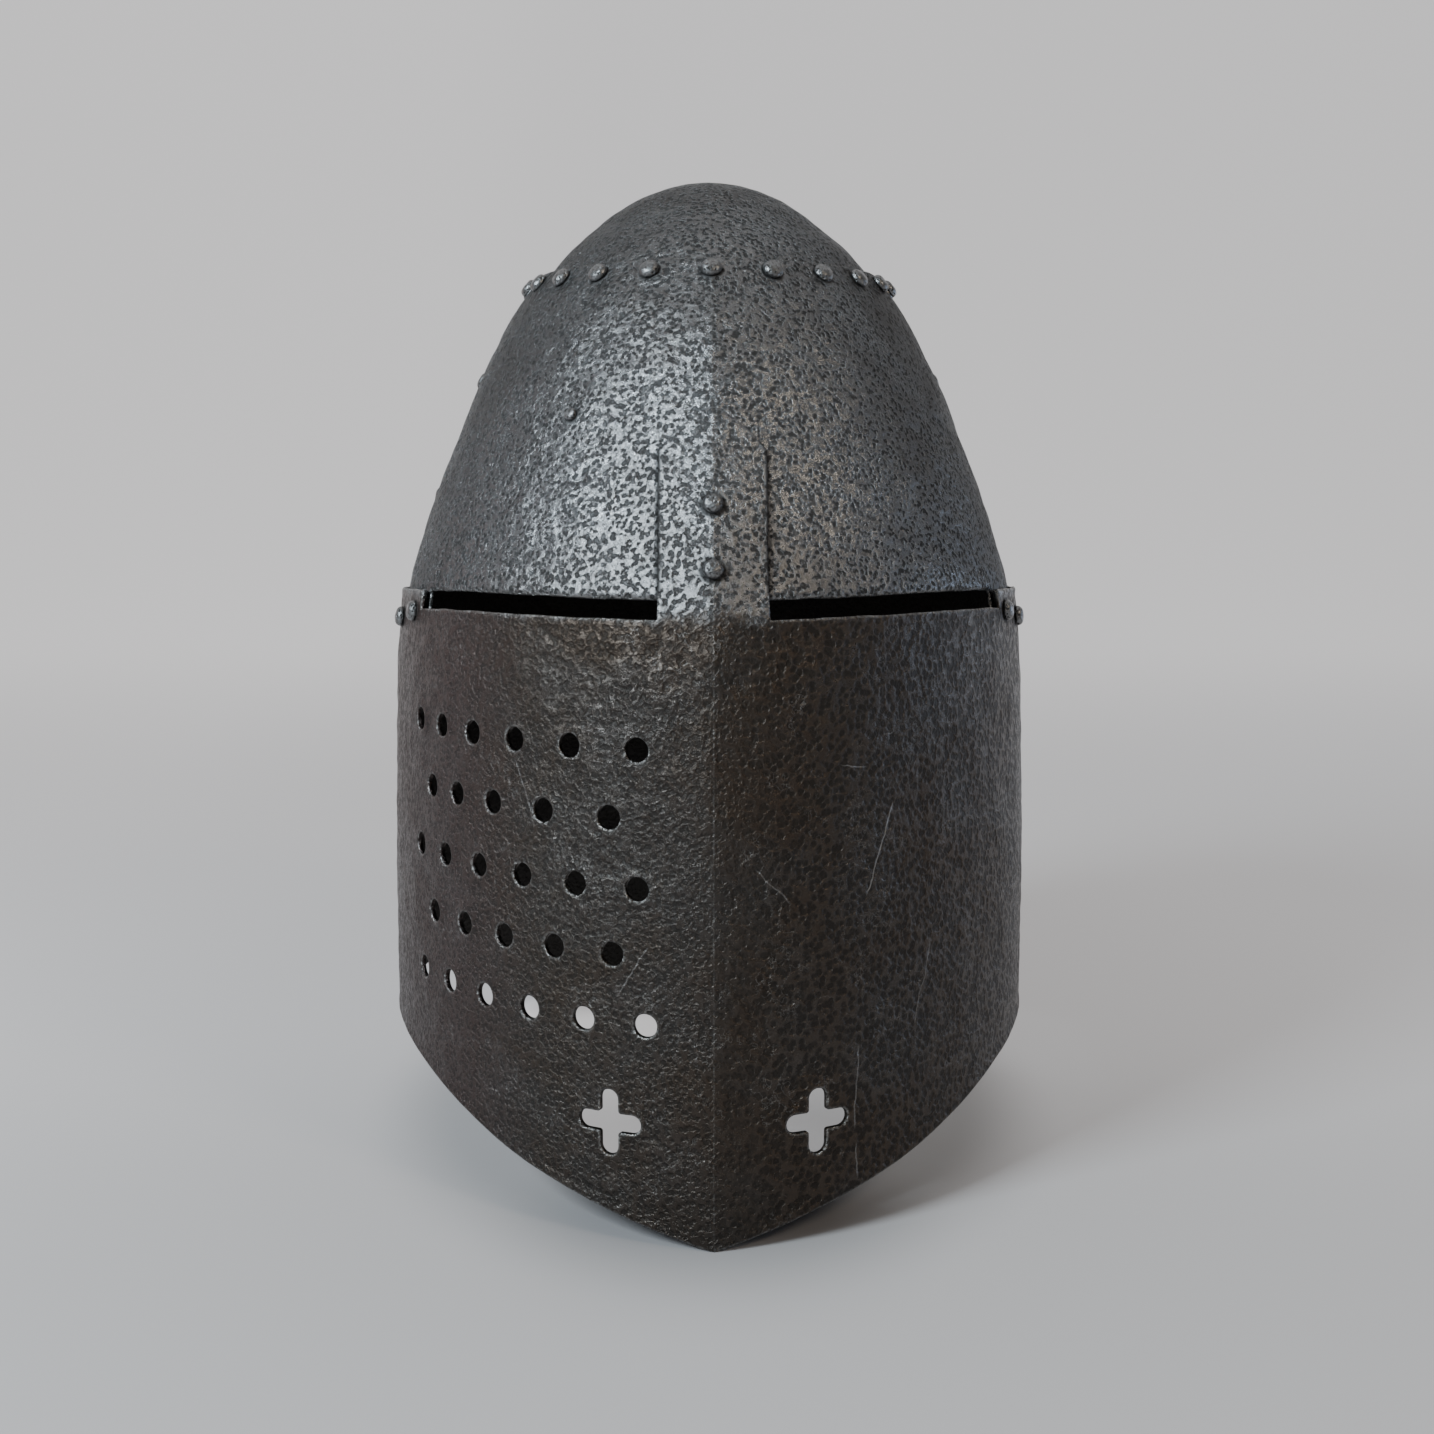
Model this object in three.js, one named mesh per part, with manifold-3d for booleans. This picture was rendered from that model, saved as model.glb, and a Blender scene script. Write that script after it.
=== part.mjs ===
// A pointed great helm of riveted steel plates, standing upright on its rim.
// Millimetres, +Z up. The face looks along -Y, so the wearer's left side is at +X.
// The plates follow one nominal surface, and each lies on its own layer inside or outside it.

import * as THREE from 'three';
import { mergeVertices } from 'three/addons/utils/BufferGeometryUtils.js';
import Module from 'manifold-3d';

const wasm = await Module();
wasm.setup();

// Sizes of the whole shell, on the nominal surface
const halfWidth = 115.2;
const frontDepth = 154.7;
const backDepth = 139;
const faceHeight = 194;
const sightHeight = 6.2;
const skullHeight = 106.6;
const crownHeight = 36.8;
const keelShare = 0.13;
const frontDepthFloor = 0.04;
const backLean = 1.1;

// Plates and their laps
const wall = 2;
const lapGap = 0.3;
const seamLap = 17.5;
const browFlange = 20;
const buttGap = 0.5;
const napeLap = 22;

// Rim: raised over the shoulders, low at the front point and along the nape
const shoulderRise = 42;
const napeFlatStart = 152;
const shoulderEnd = 100;

// Nasal strip that rises between the sights, and the sights' outer ends
const nasalWidth = 33;
const nasalShoulder = 44;
const nasalApex = 57.5;
const sightEndArc = 128.5;
const sightDroop = 2.4;

// Breathing holes on the wearer's right side: height as a share of faceHeight, and the first hole,
// the step and the spread of the middle ones as shares of breathPitch. Then the two cross slots.
const breathDiameter = 7.5;
const breathPitch = 20.7;
const breathRows = [
  { height: 0.8, holes: 6, start: 1.126, step: 1, spread: 0.16 },
  { height: 0.692, holes: 5, start: 1.57, step: 1.005, spread: 0.19 },
  { height: 0.582, holes: 6, start: 1.126, step: 0.995, spread: 0.024 },
  { height: 0.475, holes: 5, start: 1.527, step: 1.005, spread: 0 },
  { height: 0.364, holes: 6, start: 1.01, step: 1.005, spread: 0 },
];
const crossSpan = 21;
const crossArm = 6;
const crossArc = 33;
const crossHeight = 38.6;

// Rivets
const rivetHeadDiameter = 7.2;
const rivetHeadHeight = 2.6;
const rivetShankDiameter = 3.4;
const rivetTailDiameter = 5.6;
const rivetTailHeight = 1.1;
const rivetClearance = 0.3;
const plugHeadDiameter = 4.4;
const plugHeadHeight = 1.3;
const crownRivetDrop = 4.4;
const crownFlange = 11;
const crownRivetsPerQuarter = 6;
const plugRise = 55.6;
const plugArc = 49.5;
const napeRivetDrop = 11;
const napeRivetColumns = [-12, -14, 16, 14, 12];
// Shares of nasalShoulder, of the sight's end arc and browFlange, of skullHeight, and of the nape
// plate's height between the shoulder rim and the back skull plate
const nasalRivetShares = [0.191, 0.632];
const cheekRivets = [
  { arc: 1.066, drop: 0.5 },
  { arc: 1.245, drop: 0.685 },
];
const skullSeamShares = [0.263, 0.657];
const faceSeamShares = [0.17, 0.555, 0.935];

// Facets
const rivetSides = 6;
const breathSides = 8;
const crossArcSteps = 3;
const cutterReach = 9;

// Sections of the shell: rise as a share of the zone's height, width as a share of halfWidth
const faceSections = [
  { rise: 0, width: 1.007 },
  { rise: 0.4, width: 1.007 },
  { rise: 0.85, width: 0.988 },
  { rise: 1, width: 0.967 },
];
const skullSections = [
  { rise: 0, width: 0.957 },
  { rise: 0.133, width: 0.918 },
  { rise: 0.287, width: 0.87 },
  { rise: 0.451, width: 0.809 },
  { rise: 0.615, width: 0.747 },
  { rise: 0.769, width: 0.681 },
  { rise: 0.907, width: 0.606 },
  { rise: 1, width: 0.541 },
];
const crownSections = [
  { rise: 0.253, width: 0.475 },
  { rise: 0.477, width: 0.393 },
  { rise: 0.682, width: 0.311 },
  { rise: 0.845, width: 0.219 },
  { rise: 0.945, width: 0.118 },
  { rise: 1, width: 0 },
];
// Rim from the front point to the widest place: arc as a share of that quarter, rise of shoulderRise
const frontRim = [
  { arc: 0, rise: 0 },
  { arc: 0.11, rise: 0.165 },
  { arc: 0.2, rise: 0.3 },
  { arc: 0.33, rise: 0.49 },
  { arc: 0.46, rise: 0.69 },
  { arc: 0.62, rise: 0.885 },
  { arc: 0.8, rise: 0.98 },
  { arc: 1, rise: 1 },
];

// Columns of facets on each side, counted from the keel round to the nape
const nasalColumn = 2;
const sightEndColumn = 6;
const sideColumn = 9;
const lapColumn = 10;
const napeColumn = 16;

const quarter = Math.PI / 2;
const sightLow = faceHeight;
const sightHigh = faceHeight + sightHeight;
const seamHeight = sightHigh + skullHeight;
const apexHeight = seamHeight + crownHeight;
const layerStep = wall + lapGap;
const flangeLow = sightHigh - browFlange;
const napeTop = flangeLow - buttGap;
const backSkullLow = napeTop - napeLap;
const crownRivetHeight = seamHeight - crownRivetDrop;
const capLow = crownRivetHeight - crownFlange;

const zone = (sections, base, height) =>
  sections.map((s) => ({ z: base + s.rise * height, width: s.width }));
const rings = [
  ...zone(faceSections, 0, faceHeight),
  ...zone(skullSections, sightHigh, skullHeight),
  ...zone(crownSections, seamHeight, crownHeight),
];

const mix = (a, b, share) => a + (b - a) * share;
const smooth = (s) => s * s * (3 - 2 * s);

// Where a height falls among the rings: the ring below it and the share of the way to the next
function ringShare(z) {
  let i = 0;
  while (i < rings.length - 2 && rings[i + 1].z < z) i += 1;
  const share = (z - rings[i].z) / (rings[i + 1].z - rings[i].z);
  return { i, share: THREE.MathUtils.clamp(share, 0, 1) };
}

function widthAt(z) {
  const { i, share } = ringShare(z);
  return mix(rings[i].width, rings[i + 1].width, share);
}

// A horizontal section: two arcs that meet in a keel in front, and half an ellipse behind.
// The angle is 0 at the keel, a quarter turn at the widest place and a half turn at the nape.
function sectionShape(width) {
  const w = halfWidth * width;
  const keel = keelShare * w;
  const start = Math.asin(keel / (w + keel));
  const front = (frontDepth * mix(frontDepthFloor, 1, width)) / Math.cos(start);
  const back = backDepth * width ** backLean;
  return { w, keel, start, front, back };
}

function sectionPoint(width, angle) {
  const { w, keel, start, front, back } = sectionShape(width);
  const turn = Math.abs(angle);
  const side = Math.sign(angle);
  if (turn <= quarter) {
    const tau = mix(start, quarter, turn / quarter);
    return { x: side * ((w + keel) * Math.sin(tau) - keel), y: -front * Math.cos(tau) };
  }
  return { x: side * w * Math.sin(turn), y: -back * Math.cos(turn) };
}

function surfacePoint(angle, z) {
  const { x, y } = sectionPoint(widthAt(z), angle);
  return new THREE.Vector3(x, y, z);
}

// Outward normal, from small steps along the surface. On the keel it points straight ahead.
function surfaceNormal(angle, z) {
  if (z > apexHeight - 0.01) return new THREE.Vector3(0, 0, 1);
  const turnStep = 0.002;
  const riseStep = 1.5;
  const low = Math.max(z - riseStep, rings[0].z);
  const high = Math.min(z + riseStep, apexHeight - 0.01);
  const up = surfacePoint(angle, high).sub(surfacePoint(angle, low));
  if (angle === 0) return new THREE.Vector3(0, -up.z, up.y).normalize();
  const along = surfacePoint(angle + turnStep, z).sub(surfacePoint(angle - turnStep, z));
  return along.cross(up).normalize();
}

// The angle that lies a given arc length from the keel, round the section at one height
function angleAtArc(arc, z) {
  const steps = 720;
  let travelled = 0;
  let last = surfacePoint(0, z);
  for (let i = 1; i <= steps; i += 1) {
    const next = surfacePoint((Math.PI * i) / steps, z);
    const length = next.distanceTo(last);
    if (travelled + length >= Math.abs(arc)) {
      const share = (Math.abs(arc) - travelled) / length;
      return (Math.sign(arc) * Math.PI * (i - 1 + share)) / steps;
    }
    travelled += length;
    last = next;
  }
  return Math.sign(arc) * Math.PI;
}

function arcAtAngle(angle, z) {
  const steps = 360;
  let travelled = 0;
  let last = surfacePoint(0, z);
  for (let i = 1; i <= steps; i += 1) {
    const next = surfacePoint((angle * i) / steps, z);
    travelled += next.distanceTo(last);
    last = next;
  }
  return travelled;
}

const sideArc = arcAtAngle(quarter, sightLow);
const lapAngle = angleAtArc(sideArc + seamLap, sightLow);
const nasalTop = sightHigh + nasalApex;
const nasalReach = halfWidth * widthAt(nasalTop);

// The angle whose x is the given share of half the nasal's width, so that its edges stay upright
function nasalAngle(share, width) {
  const { w, keel, start } = sectionShape(width);
  const x = share * (nasalWidth / 2) * Math.min(1, w / nasalReach);
  const tau = Math.asin((x + keel) / (w + keel));
  return (quarter * (tau - start)) / (quarter - start);
}

const sightEndAngle = angleAtArc(sightEndArc, sightLow);
const sightEndShare = (() => {
  const edge = nasalAngle(1, widthAt(sightLow));
  return (sightEndAngle - edge) / (quarter - edge);
})();

// The angle of a column at a height. Columns are signed: negative on the wearer's right side.
function columnAngle(column, width) {
  const n = Math.abs(column);
  const side = Math.sign(column);
  if (n <= nasalColumn) return side * nasalAngle(n / nasalColumn, width);
  const edge = nasalAngle(1, width);
  if (n <= sightEndColumn) {
    const share = (n - nasalColumn) / (sightEndColumn - nasalColumn);
    return side * mix(edge, quarter, sightEndShare * share);
  }
  if (n <= sideColumn) {
    const share = (n - sightEndColumn) / (sideColumn - sightEndColumn);
    return side * mix(edge, quarter, mix(sightEndShare, 1, share));
  }
  if (n === lapColumn) return side * lapAngle;
  return side * mix(lapAngle, Math.PI, (n - lapColumn) / (napeColumn - lapColumn));
}

// A point where a column meets a ring, moved out from the nominal surface
function ringPoint(column, i, offset) {
  const { z, width } = rings[i];
  if (width === 0) return new THREE.Vector3(0, 0, z + offset);
  const angle = columnAngle(column, width);
  return surfacePoint(angle, z).addScaledVector(surfaceNormal(angle, z), offset);
}

// A point on a column at any height, on the straight facet edge between two rings
function columnPoint(column, z, offset) {
  const { i, share } = ringShare(z);
  return ringPoint(column, i, offset).lerp(ringPoint(column, i + 1, offset), share);
}

// One bent plate: a strip of columns between a low and a high edge, thickened inwards.
// low, high and offset take a column, and low and high also take the middle of the cell beside it.
function bentPlate({ first, last, low, high, offset }) {
  const points = [];
  const index = new Map();
  const triangles = [];
  const wrap = (column) => (column > napeColumn ? column - 2 * napeColumn : column);
  const pointOf = (column, z) => {
    const own = wrap(column);
    const key = z > apexHeight - 0.001 ? 'apex' : `${own}:${z.toFixed(4)}`;
    if (!index.has(key)) {
      index.set(key, points.length);
      points.push({ column: own, z });
    }
    return index.get(key);
  };
  for (let c = first; c < last; c += 1) {
    const middle = Math.abs(wrap(c + 0.5));
    const levels = [c, c + 1].map((column) => {
      const from = low(Math.abs(wrap(column)), middle);
      const to = high(Math.abs(wrap(column)), middle);
      const between = rings.map((r) => THREE.MathUtils.clamp(r.z, from, to));
      return [from, ...between, to].map((z) => pointOf(column, z));
    });
    for (let i = 0; i + 1 < levels[0].length; i += 1) {
      const [a, b] = [levels[0][i], levels[1][i]];
      const [d, e] = [levels[0][i + 1], levels[1][i + 1]];
      if (a !== b && b !== e && a !== e) triangles.push([a, b, e]);
      if (a !== e && e !== d && a !== d) triangles.push([a, e, d]);
    }
  }
  const count = points.length;
  const skinPoint = ({ column, z }, depth) =>
    columnPoint(column, z, offset(Math.abs(column), z) + depth).toArray();
  const positions = [0, -wall].flatMap((depth) => points.flatMap((point) => skinPoint(point, depth)));
  const edges = new Map();
  for (const [a, b, c] of triangles) {
    for (const [from, to] of [[a, b], [b, c], [c, a]]) {
      if (!edges.delete(`${to},${from}`)) edges.set(`${from},${to}`, [from, to]);
    }
  }
  const faces = triangles.flatMap(([a, b, c]) => [a, b, c, a + count, c + count, b + count]);
  for (const [from, to] of edges.values()) {
    faces.push(from, from + count, to, to, from + count, to + count);
  }
  const geometry = new THREE.BufferGeometry();
  geometry.setAttribute('position', new THREE.Float32BufferAttribute(positions, 3));
  geometry.setIndex(faces);
  return geometry;
}

// Solids for the booleans
function toSolid(geometry, matrix) {
  const bare = geometry.clone();
  bare.deleteAttribute('normal');
  bare.deleteAttribute('uv');
  if (matrix) bare.applyMatrix4(matrix);
  const merged = mergeVertices(bare, 1e-4);
  return new wasm.Manifold(new wasm.Mesh({
    numProp: 3,
    vertProperties: new Float32Array(merged.attributes.position.array),
    triVerts: new Uint32Array(merged.index.array),
  }));
}

function toGeometry(solid) {
  const mesh = solid.getMesh();
  const geometry = new THREE.BufferGeometry();
  geometry.setAttribute('position', new THREE.Float32BufferAttribute(mesh.vertProperties, 3));
  geometry.setIndex(Array.from(mesh.triVerts));
  geometry.computeVertexNormals();
  return geometry;
}

function cutPlate(geometry, cutters) {
  let solid = toSolid(geometry);
  for (const cutter of cutters) solid = solid.subtract(cutter);
  return toGeometry(solid);
}

// A frame standing on the surface: local y points out along the normal, local x runs level
function seat(angle, z, offset) {
  const out = surfaceNormal(angle, z);
  const level = new THREE.Vector3(0, 0, 1).cross(out).normalize();
  const up = level.clone().cross(out).negate();
  const origin = surfacePoint(angle, z).addScaledVector(out, offset);
  return new THREE.Matrix4().makeBasis(level, out, up.negate()).setPosition(origin);
}

// Rivets: where each goes, and the outer and inner layer that it holds together
const sides = [-1, 1];
const lapMiddle = mix(quarter, lapAngle, 0.5);

function crownRivets() {
  const z = crownRivetHeight;
  const lapArc = arcAtAngle(lapMiddle, z);
  const napeArc = arcAtAngle(Math.PI, z);
  const list = [];
  for (let i = 0; i < 4 * crownRivetsPerQuarter; i += 1) {
    const steps = i <= 2 * crownRivetsPerQuarter ? i : i - 4 * crownRivetsPerQuarter;
    const n = Math.abs(steps);
    const arc = n <= crownRivetsPerQuarter
      ? (lapArc * n) / crownRivetsPerQuarter
      : mix(lapArc, napeArc, (n - crownRivetsPerQuarter) / crownRivetsPerQuarter);
    const onLap = n === crownRivetsPerQuarter;
    const behind = n > crownRivetsPerQuarter;
    list.push({
      name: `crown_rivet_${String(i + 1).padStart(2, '0')}`,
      angle: n === 0 ? 0 : angleAtArc(Math.sign(steps) * arc, z),
      z,
      outer: behind ? -1 : 0,
      inner: behind || onLap ? -2 : -1,
      plates: [...(behind ? [] : ['brow']), ...(behind || onLap ? ['backSkull'] : []), 'cap'],
    });
  }
  return list;
}

function nasalRivets() {
  return nasalRivetShares.map((share, i) => ({
    name: `nasal_rivet_${i + 1}`, angle: 0, z: sightHigh + share * nasalShoulder,
    outer: 1, inner: 0, plates: ['face', 'brow'],
  }));
}

function tabRivets() {
  return sides.flatMap((side) => cheekRivets.map(({ arc, drop }, i) => {
    const z = sightHigh - drop * browFlange;
    return {
      name: `cheek_rivet_${side < 0 ? 'right' : 'left'}_${i + 1}`,
      angle: angleAtArc(side * arc * sightEndArc, z), z,
      outer: 1, inner: 0, plates: ['face', 'brow'],
    };
  }));
}

function seamRivets() {
  return sides.flatMap((side) => {
    const word = side < 0 ? 'right' : 'left';
    const skull = skullSeamShares.map((share, i) => ({
      name: `skull_seam_rivet_${word}_${i + 1}`, z: sightHigh + share * skullHeight,
      outer: 0, inner: -1, plates: ['brow', 'backSkull'],
    }));
    const face = faceSeamShares.map((share, i) => ({
      name: `face_seam_rivet_${word}_${i + 1}`, z: mix(shoulderRise, backSkullLow, share),
      outer: 1, inner: 0, plates: ['face', 'nape'],
    }));
    return [...skull, ...face].map((r) => ({ ...r, angle: side * lapMiddle }));
  });
}

function napeRivets() {
  const z = napeTop - napeRivetDrop;
  return napeRivetColumns.map((column, i) => ({
    name: `nape_rivet_${i + 1}`, angle: columnAngle(column, widthAt(z)), z,
    outer: 0, inner: -1, plates: ['nape', 'backSkull'],
  }));
}

function plugRivet() {
  const z = sightHigh + plugRise;
  return {
    name: 'plug_rivet', angle: angleAtArc(-plugArc, z), z, outer: 0, inner: 0, plates: ['brow'], small: true,
  };
}

const rivets = [
  ...crownRivets(), ...nasalRivets(), ...tabRivets(), ...seamRivets(), ...napeRivets(), plugRivet(),
];

// A rivet turned on its own axis: domed head outside, shank through the plates, peened tail inside
function rivetGeometry({ outer, inner, small }) {
  const headRadius = (small ? plugHeadDiameter : rivetHeadDiameter) / 2;
  const headHeight = small ? plugHeadHeight : rivetHeadHeight;
  const shankRadius = (small ? plugHeadDiameter / 2 : rivetShankDiameter) / 2;
  const tailRadius = small ? shankRadius * 1.5 : rivetTailDiameter / 2;
  const grip = (outer - inner) * layerStep + wall + 2 * rivetClearance + lapGap;
  const profile = [
    [0, -grip - rivetTailHeight],
    [tailRadius, -grip],
    [shankRadius, -grip],
    [shankRadius, 0],
    [headRadius, 0.15 * headHeight],
    [0.68 * headRadius, 0.86 * headHeight],
    [0, headHeight],
  ];
  return new THREE.LatheGeometry(profile.map(([r, y]) => new THREE.Vector2(r, y)), rivetSides);
}

function rivetCutter({ angle, z, small }) {
  const radius = (small ? plugHeadDiameter / 2 : rivetShankDiameter) / 2 + rivetClearance;
  const hole = new THREE.CylinderGeometry(radius, radius, 2 * cutterReach, rivetSides);
  return toSolid(hole, seat(angle, z, 0));
}

const rivetCuttersFor = (plate) => rivets.filter((r) => r.plates.includes(plate)).map(rivetCutter);

// Breathing holes: each row is set out along the plate from the keel, its middle spread a little
function breathCutters() {
  return breathRows.flatMap(({ height, holes, start, step, spread }) =>
    Array.from({ length: holes }, (_, i) => {
      const z = height * faceHeight;
      const share = i / (holes - 1);
      const arc = breathPitch * (start + step * i + 4 * spread * share * (1 - share));
      const hole = new THREE.CylinderGeometry(
        breathDiameter / 2, breathDiameter / 2, 2 * cutterReach, breathSides);
      return toSolid(hole, seat(angleAtArc(-arc, z), z, 0));
    }));
}

// A cross of two arms with round ends, one each side of the front point
function crossCutters() {
  const r = crossArm / 2;
  const reach = crossSpan / 2 - r;
  const shape = new THREE.Shape();
  for (let arm = 0; arm < 4; arm += 1) {
    const turn = arm * quarter;
    const [ahead, aside] = [Math.cos(turn), Math.sin(turn)];
    const place = (x, y) => [x * ahead - y * aside, x * aside + y * ahead];
    for (let i = 0; i <= crossArcSteps; i += 1) {
      const a = -quarter + (Math.PI * i) / crossArcSteps;
      const [x, y] = place(reach + r * Math.cos(a), r * Math.sin(a));
      if (arm === 0 && i === 0) shape.moveTo(x, y);
      else shape.lineTo(x, y);
    }
    shape.lineTo(...place(r, r));
  }
  shape.closePath();
  const body = new THREE.ExtrudeGeometry(shape, { depth: 2 * cutterReach, bevelEnabled: false });
  body.translate(0, 0, -cutterReach);
  body.rotateX(quarter);
  return sides.map((side) => toSolid(body, seat(angleAtArc(side * crossArc, crossHeight), crossHeight, 0)));
}

// The rim's height at a column: up from the front point, level over the shoulder, down to the nape
function rimHeight(column) {
  const angle = columnAngle(column, rings[0].width);
  if (angle <= quarter) {
    const share = arcAtAngle(angle, 0) / arcAtAngle(quarter, 0);
    const next = Math.max(1, frontRim.findIndex((p) => p.arc >= share - 1e-9));
    const [a, b] = [frontRim[next - 1], frontRim[next]];
    return shoulderRise * mix(a.rise, b.rise, (share - a.arc) / (b.arc - a.arc));
  }
  const degrees = THREE.MathUtils.radToDeg(angle);
  const down = THREE.MathUtils.clamp((degrees - shoulderEnd) / (napeFlatStart - shoulderEnd), 0, 1);
  return shoulderRise * (1 - smooth(down));
}

// The sights sink a little towards their outer ends
function droop(column) {
  const share = (column - nasalColumn) / (sightEndColumn - nasalColumn);
  return sightDroop * THREE.MathUtils.clamp(share, 0, 1) ** 4;
}

// Top edge of the face plate: nasal between the sights, sight sill, then the cheek tab
function faceTop(column, middle) {
  if (middle < nasalColumn) return sightHigh + mix(nasalApex, nasalShoulder, column / nasalColumn);
  if (middle < sightEndColumn) return sightLow - droop(column);
  const share = (column - sightEndColumn) / (sideColumn - sightEndColumn);
  return mix(sightHigh - sightDroop, sightLow, Math.min(share, 1));
}

const layer = (n) => () => n * layerStep;

function facePlate() {
  const body = bentPlate({
    first: -lapColumn, last: lapColumn, low: rimHeight, high: faceTop, offset: layer(1),
  });
  return cutPlate(body, [...breathCutters(), ...crossCutters(), ...rivetCuttersFor('face')]);
}

function browPlate() {
  const body = bentPlate({
    first: -lapColumn,
    last: lapColumn,
    low: (column, middle) => (middle < sightEndColumn ? sightHigh - droop(column) : flangeLow),
    high: () => seamHeight,
    offset: layer(0),
  });
  return cutPlate(body, rivetCuttersFor('brow'));
}

function backSkullPlate() {
  const body = bentPlate({
    first: sideColumn,
    last: 2 * napeColumn - sideColumn,
    low: () => backSkullLow,
    high: () => seamHeight,
    offset: layer(-1),
  });
  return cutPlate(body, rivetCuttersFor('backSkull'));
}

function napePlate() {
  const body = bentPlate({
    first: sideColumn,
    last: 2 * napeColumn - sideColumn,
    low: rimHeight,
    high: () => napeTop,
    offset: layer(0),
  });
  return cutPlate(body, rivetCuttersFor('nape'));
}

// The crown lies inside both skull plates, so its flange steps in once more behind the side seams
function crownCap() {
  const fadeEnd = seamHeight + 0.58 * crownHeight;
  const body = bentPlate({
    first: -napeColumn,
    last: napeColumn,
    low: () => capLow,
    high: () => apexHeight,
    offset: (column, z) => {
      const fade = THREE.MathUtils.clamp((fadeEnd - z) / (fadeEnd - seamHeight), 0, 1);
      return -layerStep * (1 + (column >= sideColumn ? fade : 0));
    },
  });
  return cutPlate(body, rivetCuttersFor('cap'));
}

// Finishes
const pittedSteel = new THREE.MeshStandardMaterial({ color: 0x4a4846, roughness: 0.5, metalness: 0.9 });
const brownedSteel = new THREE.MeshStandardMaterial({ color: 0x3f3834, roughness: 0.55, metalness: 0.85 });
const rivetSteel = new THREE.MeshStandardMaterial({ color: 0x54524f, roughness: 0.4, metalness: 0.95 });

function named(name, geometry, material) {
  const mesh = new THREE.Mesh(geometry, material);
  mesh.name = name;
  return mesh;
}

function rivetMesh(rivet) {
  const mesh = named(rivet.name, rivetGeometry(rivet), rivetSteel);
  seat(rivet.angle, rivet.z, rivet.outer * layerStep + lapGap).decompose(
    mesh.position, mesh.quaternion, mesh.scale);
  return mesh;
}

const plates = new THREE.Group();
plates.add(
  named('crown_cap', crownCap(), pittedSteel),
  named('brow_plate', browPlate(), pittedSteel),
  named('back_skull_plate', backSkullPlate(), pittedSteel),
  named('face_plate', facePlate(), brownedSteel),
  named('nape_plate', napePlate(), brownedSteel),
);
const fastenings = new THREE.Group();
for (const rivet of rivets) fastenings.add(rivetMesh(rivet));

// The origin is on the floor, midway between the front point and the nape
const helm = new THREE.Group();
helm.add(plates, fastenings);
const span = new THREE.Box3().setFromObject(helm, true);
helm.position.y = -(span.min.y + span.max.y) / 2;

export default helm;
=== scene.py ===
"""A pointed great helm of pitted steel plates, dressed on its fixed frame."""
import math

import bpy
import numpy as np
from mathutils import Matrix, Vector, kdtree, noise
from mathutils.geometry import delaunay_2d_cdt


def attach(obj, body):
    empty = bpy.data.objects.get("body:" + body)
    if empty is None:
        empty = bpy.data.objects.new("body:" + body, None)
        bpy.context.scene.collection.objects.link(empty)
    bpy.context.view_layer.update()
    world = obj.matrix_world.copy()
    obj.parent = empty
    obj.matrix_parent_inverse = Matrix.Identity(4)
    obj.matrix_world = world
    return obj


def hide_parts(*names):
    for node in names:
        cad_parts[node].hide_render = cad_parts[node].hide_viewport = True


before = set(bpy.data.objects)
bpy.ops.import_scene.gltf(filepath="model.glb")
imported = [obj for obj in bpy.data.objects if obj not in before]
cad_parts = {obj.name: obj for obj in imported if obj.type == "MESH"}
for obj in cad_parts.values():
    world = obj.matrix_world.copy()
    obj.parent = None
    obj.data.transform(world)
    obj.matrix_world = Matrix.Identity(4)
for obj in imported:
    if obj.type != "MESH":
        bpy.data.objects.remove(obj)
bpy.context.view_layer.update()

# The helm's surface in millimetres, on the same nominal sizes as its solids
HALF_WIDTH, FRONT_DEPTH, BACK_DEPTH = 115.2, 154.7, 139.0
KEEL, DEPTH_FLOOR, BACK_LEAN = 0.13, 0.04, 1.1
FACE_TOP, SIGHT, SKULL, CROWN = 194.0, 6.2, 106.6, 36.8
SIGHT_TOP = FACE_TOP + SIGHT
SEAM = SIGHT_TOP + SKULL
APEX = SEAM + CROWN
WALL, STEP = 2.0, 2.3
RIM_RISE, SIGHT_DROOP = 42.0, 2.4
NASAL_HALF, NASAL_SHOULDER, NASAL_APEX = 16.5, 44.0, 57.5
LAP, SIGHT_ARC = 17.5, 128.5
FLANGE, CROWN_RIVET_DROP = 20.0, 4.4
QUARTER = math.pi / 2
# The frame's origin is midway between the front point and the nape
Y_SHIFT = 8.984
# Keeps the dressed surface a hair inside the solids' box
SHY = 0.05
# The nasal strip is hammered thin where it lies on the brow
STRIP_TOP, STRIP_UNDER = 1.1, -0.4
# Stands for "no seam near" in seam_mm, and marks the inner face in edge_mm
FAR = 30.0
EDGE_REACH = 20.0
HEX_ROW = 0.866
WOBBLE_EVERY = 1 / 9

FACE_RINGS = [(0, 1.007), (0.4, 1.007), (0.85, 0.988), (1, 0.967)]
SKULL_RINGS = [(0, 0.957), (0.133, 0.918), (0.287, 0.87), (0.451, 0.809),
               (0.615, 0.747), (0.769, 0.681), (0.907, 0.606), (1, 0.541)]
CROWN_RINGS = [(0.253, 0.475), (0.477, 0.393), (0.682, 0.311), (0.845, 0.219),
               (0.945, 0.118), (1, 0.0)]
RINGS = ([(r * FACE_TOP, w) for r, w in FACE_RINGS]
         + [(SIGHT_TOP + r * SKULL, w) for r, w in SKULL_RINGS]
         + [(SEAM + r * CROWN, w) for r, w in CROWN_RINGS])
FRONT_RIM = [(0, 0), (0.11, 0.165), (0.2, 0.3), (0.33, 0.49), (0.46, 0.69),
             (0.62, 0.885), (0.8, 0.98), (1, 1)]
BREATH_PITCH, BREATH_RADIUS = 20.7, 3.75
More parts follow.
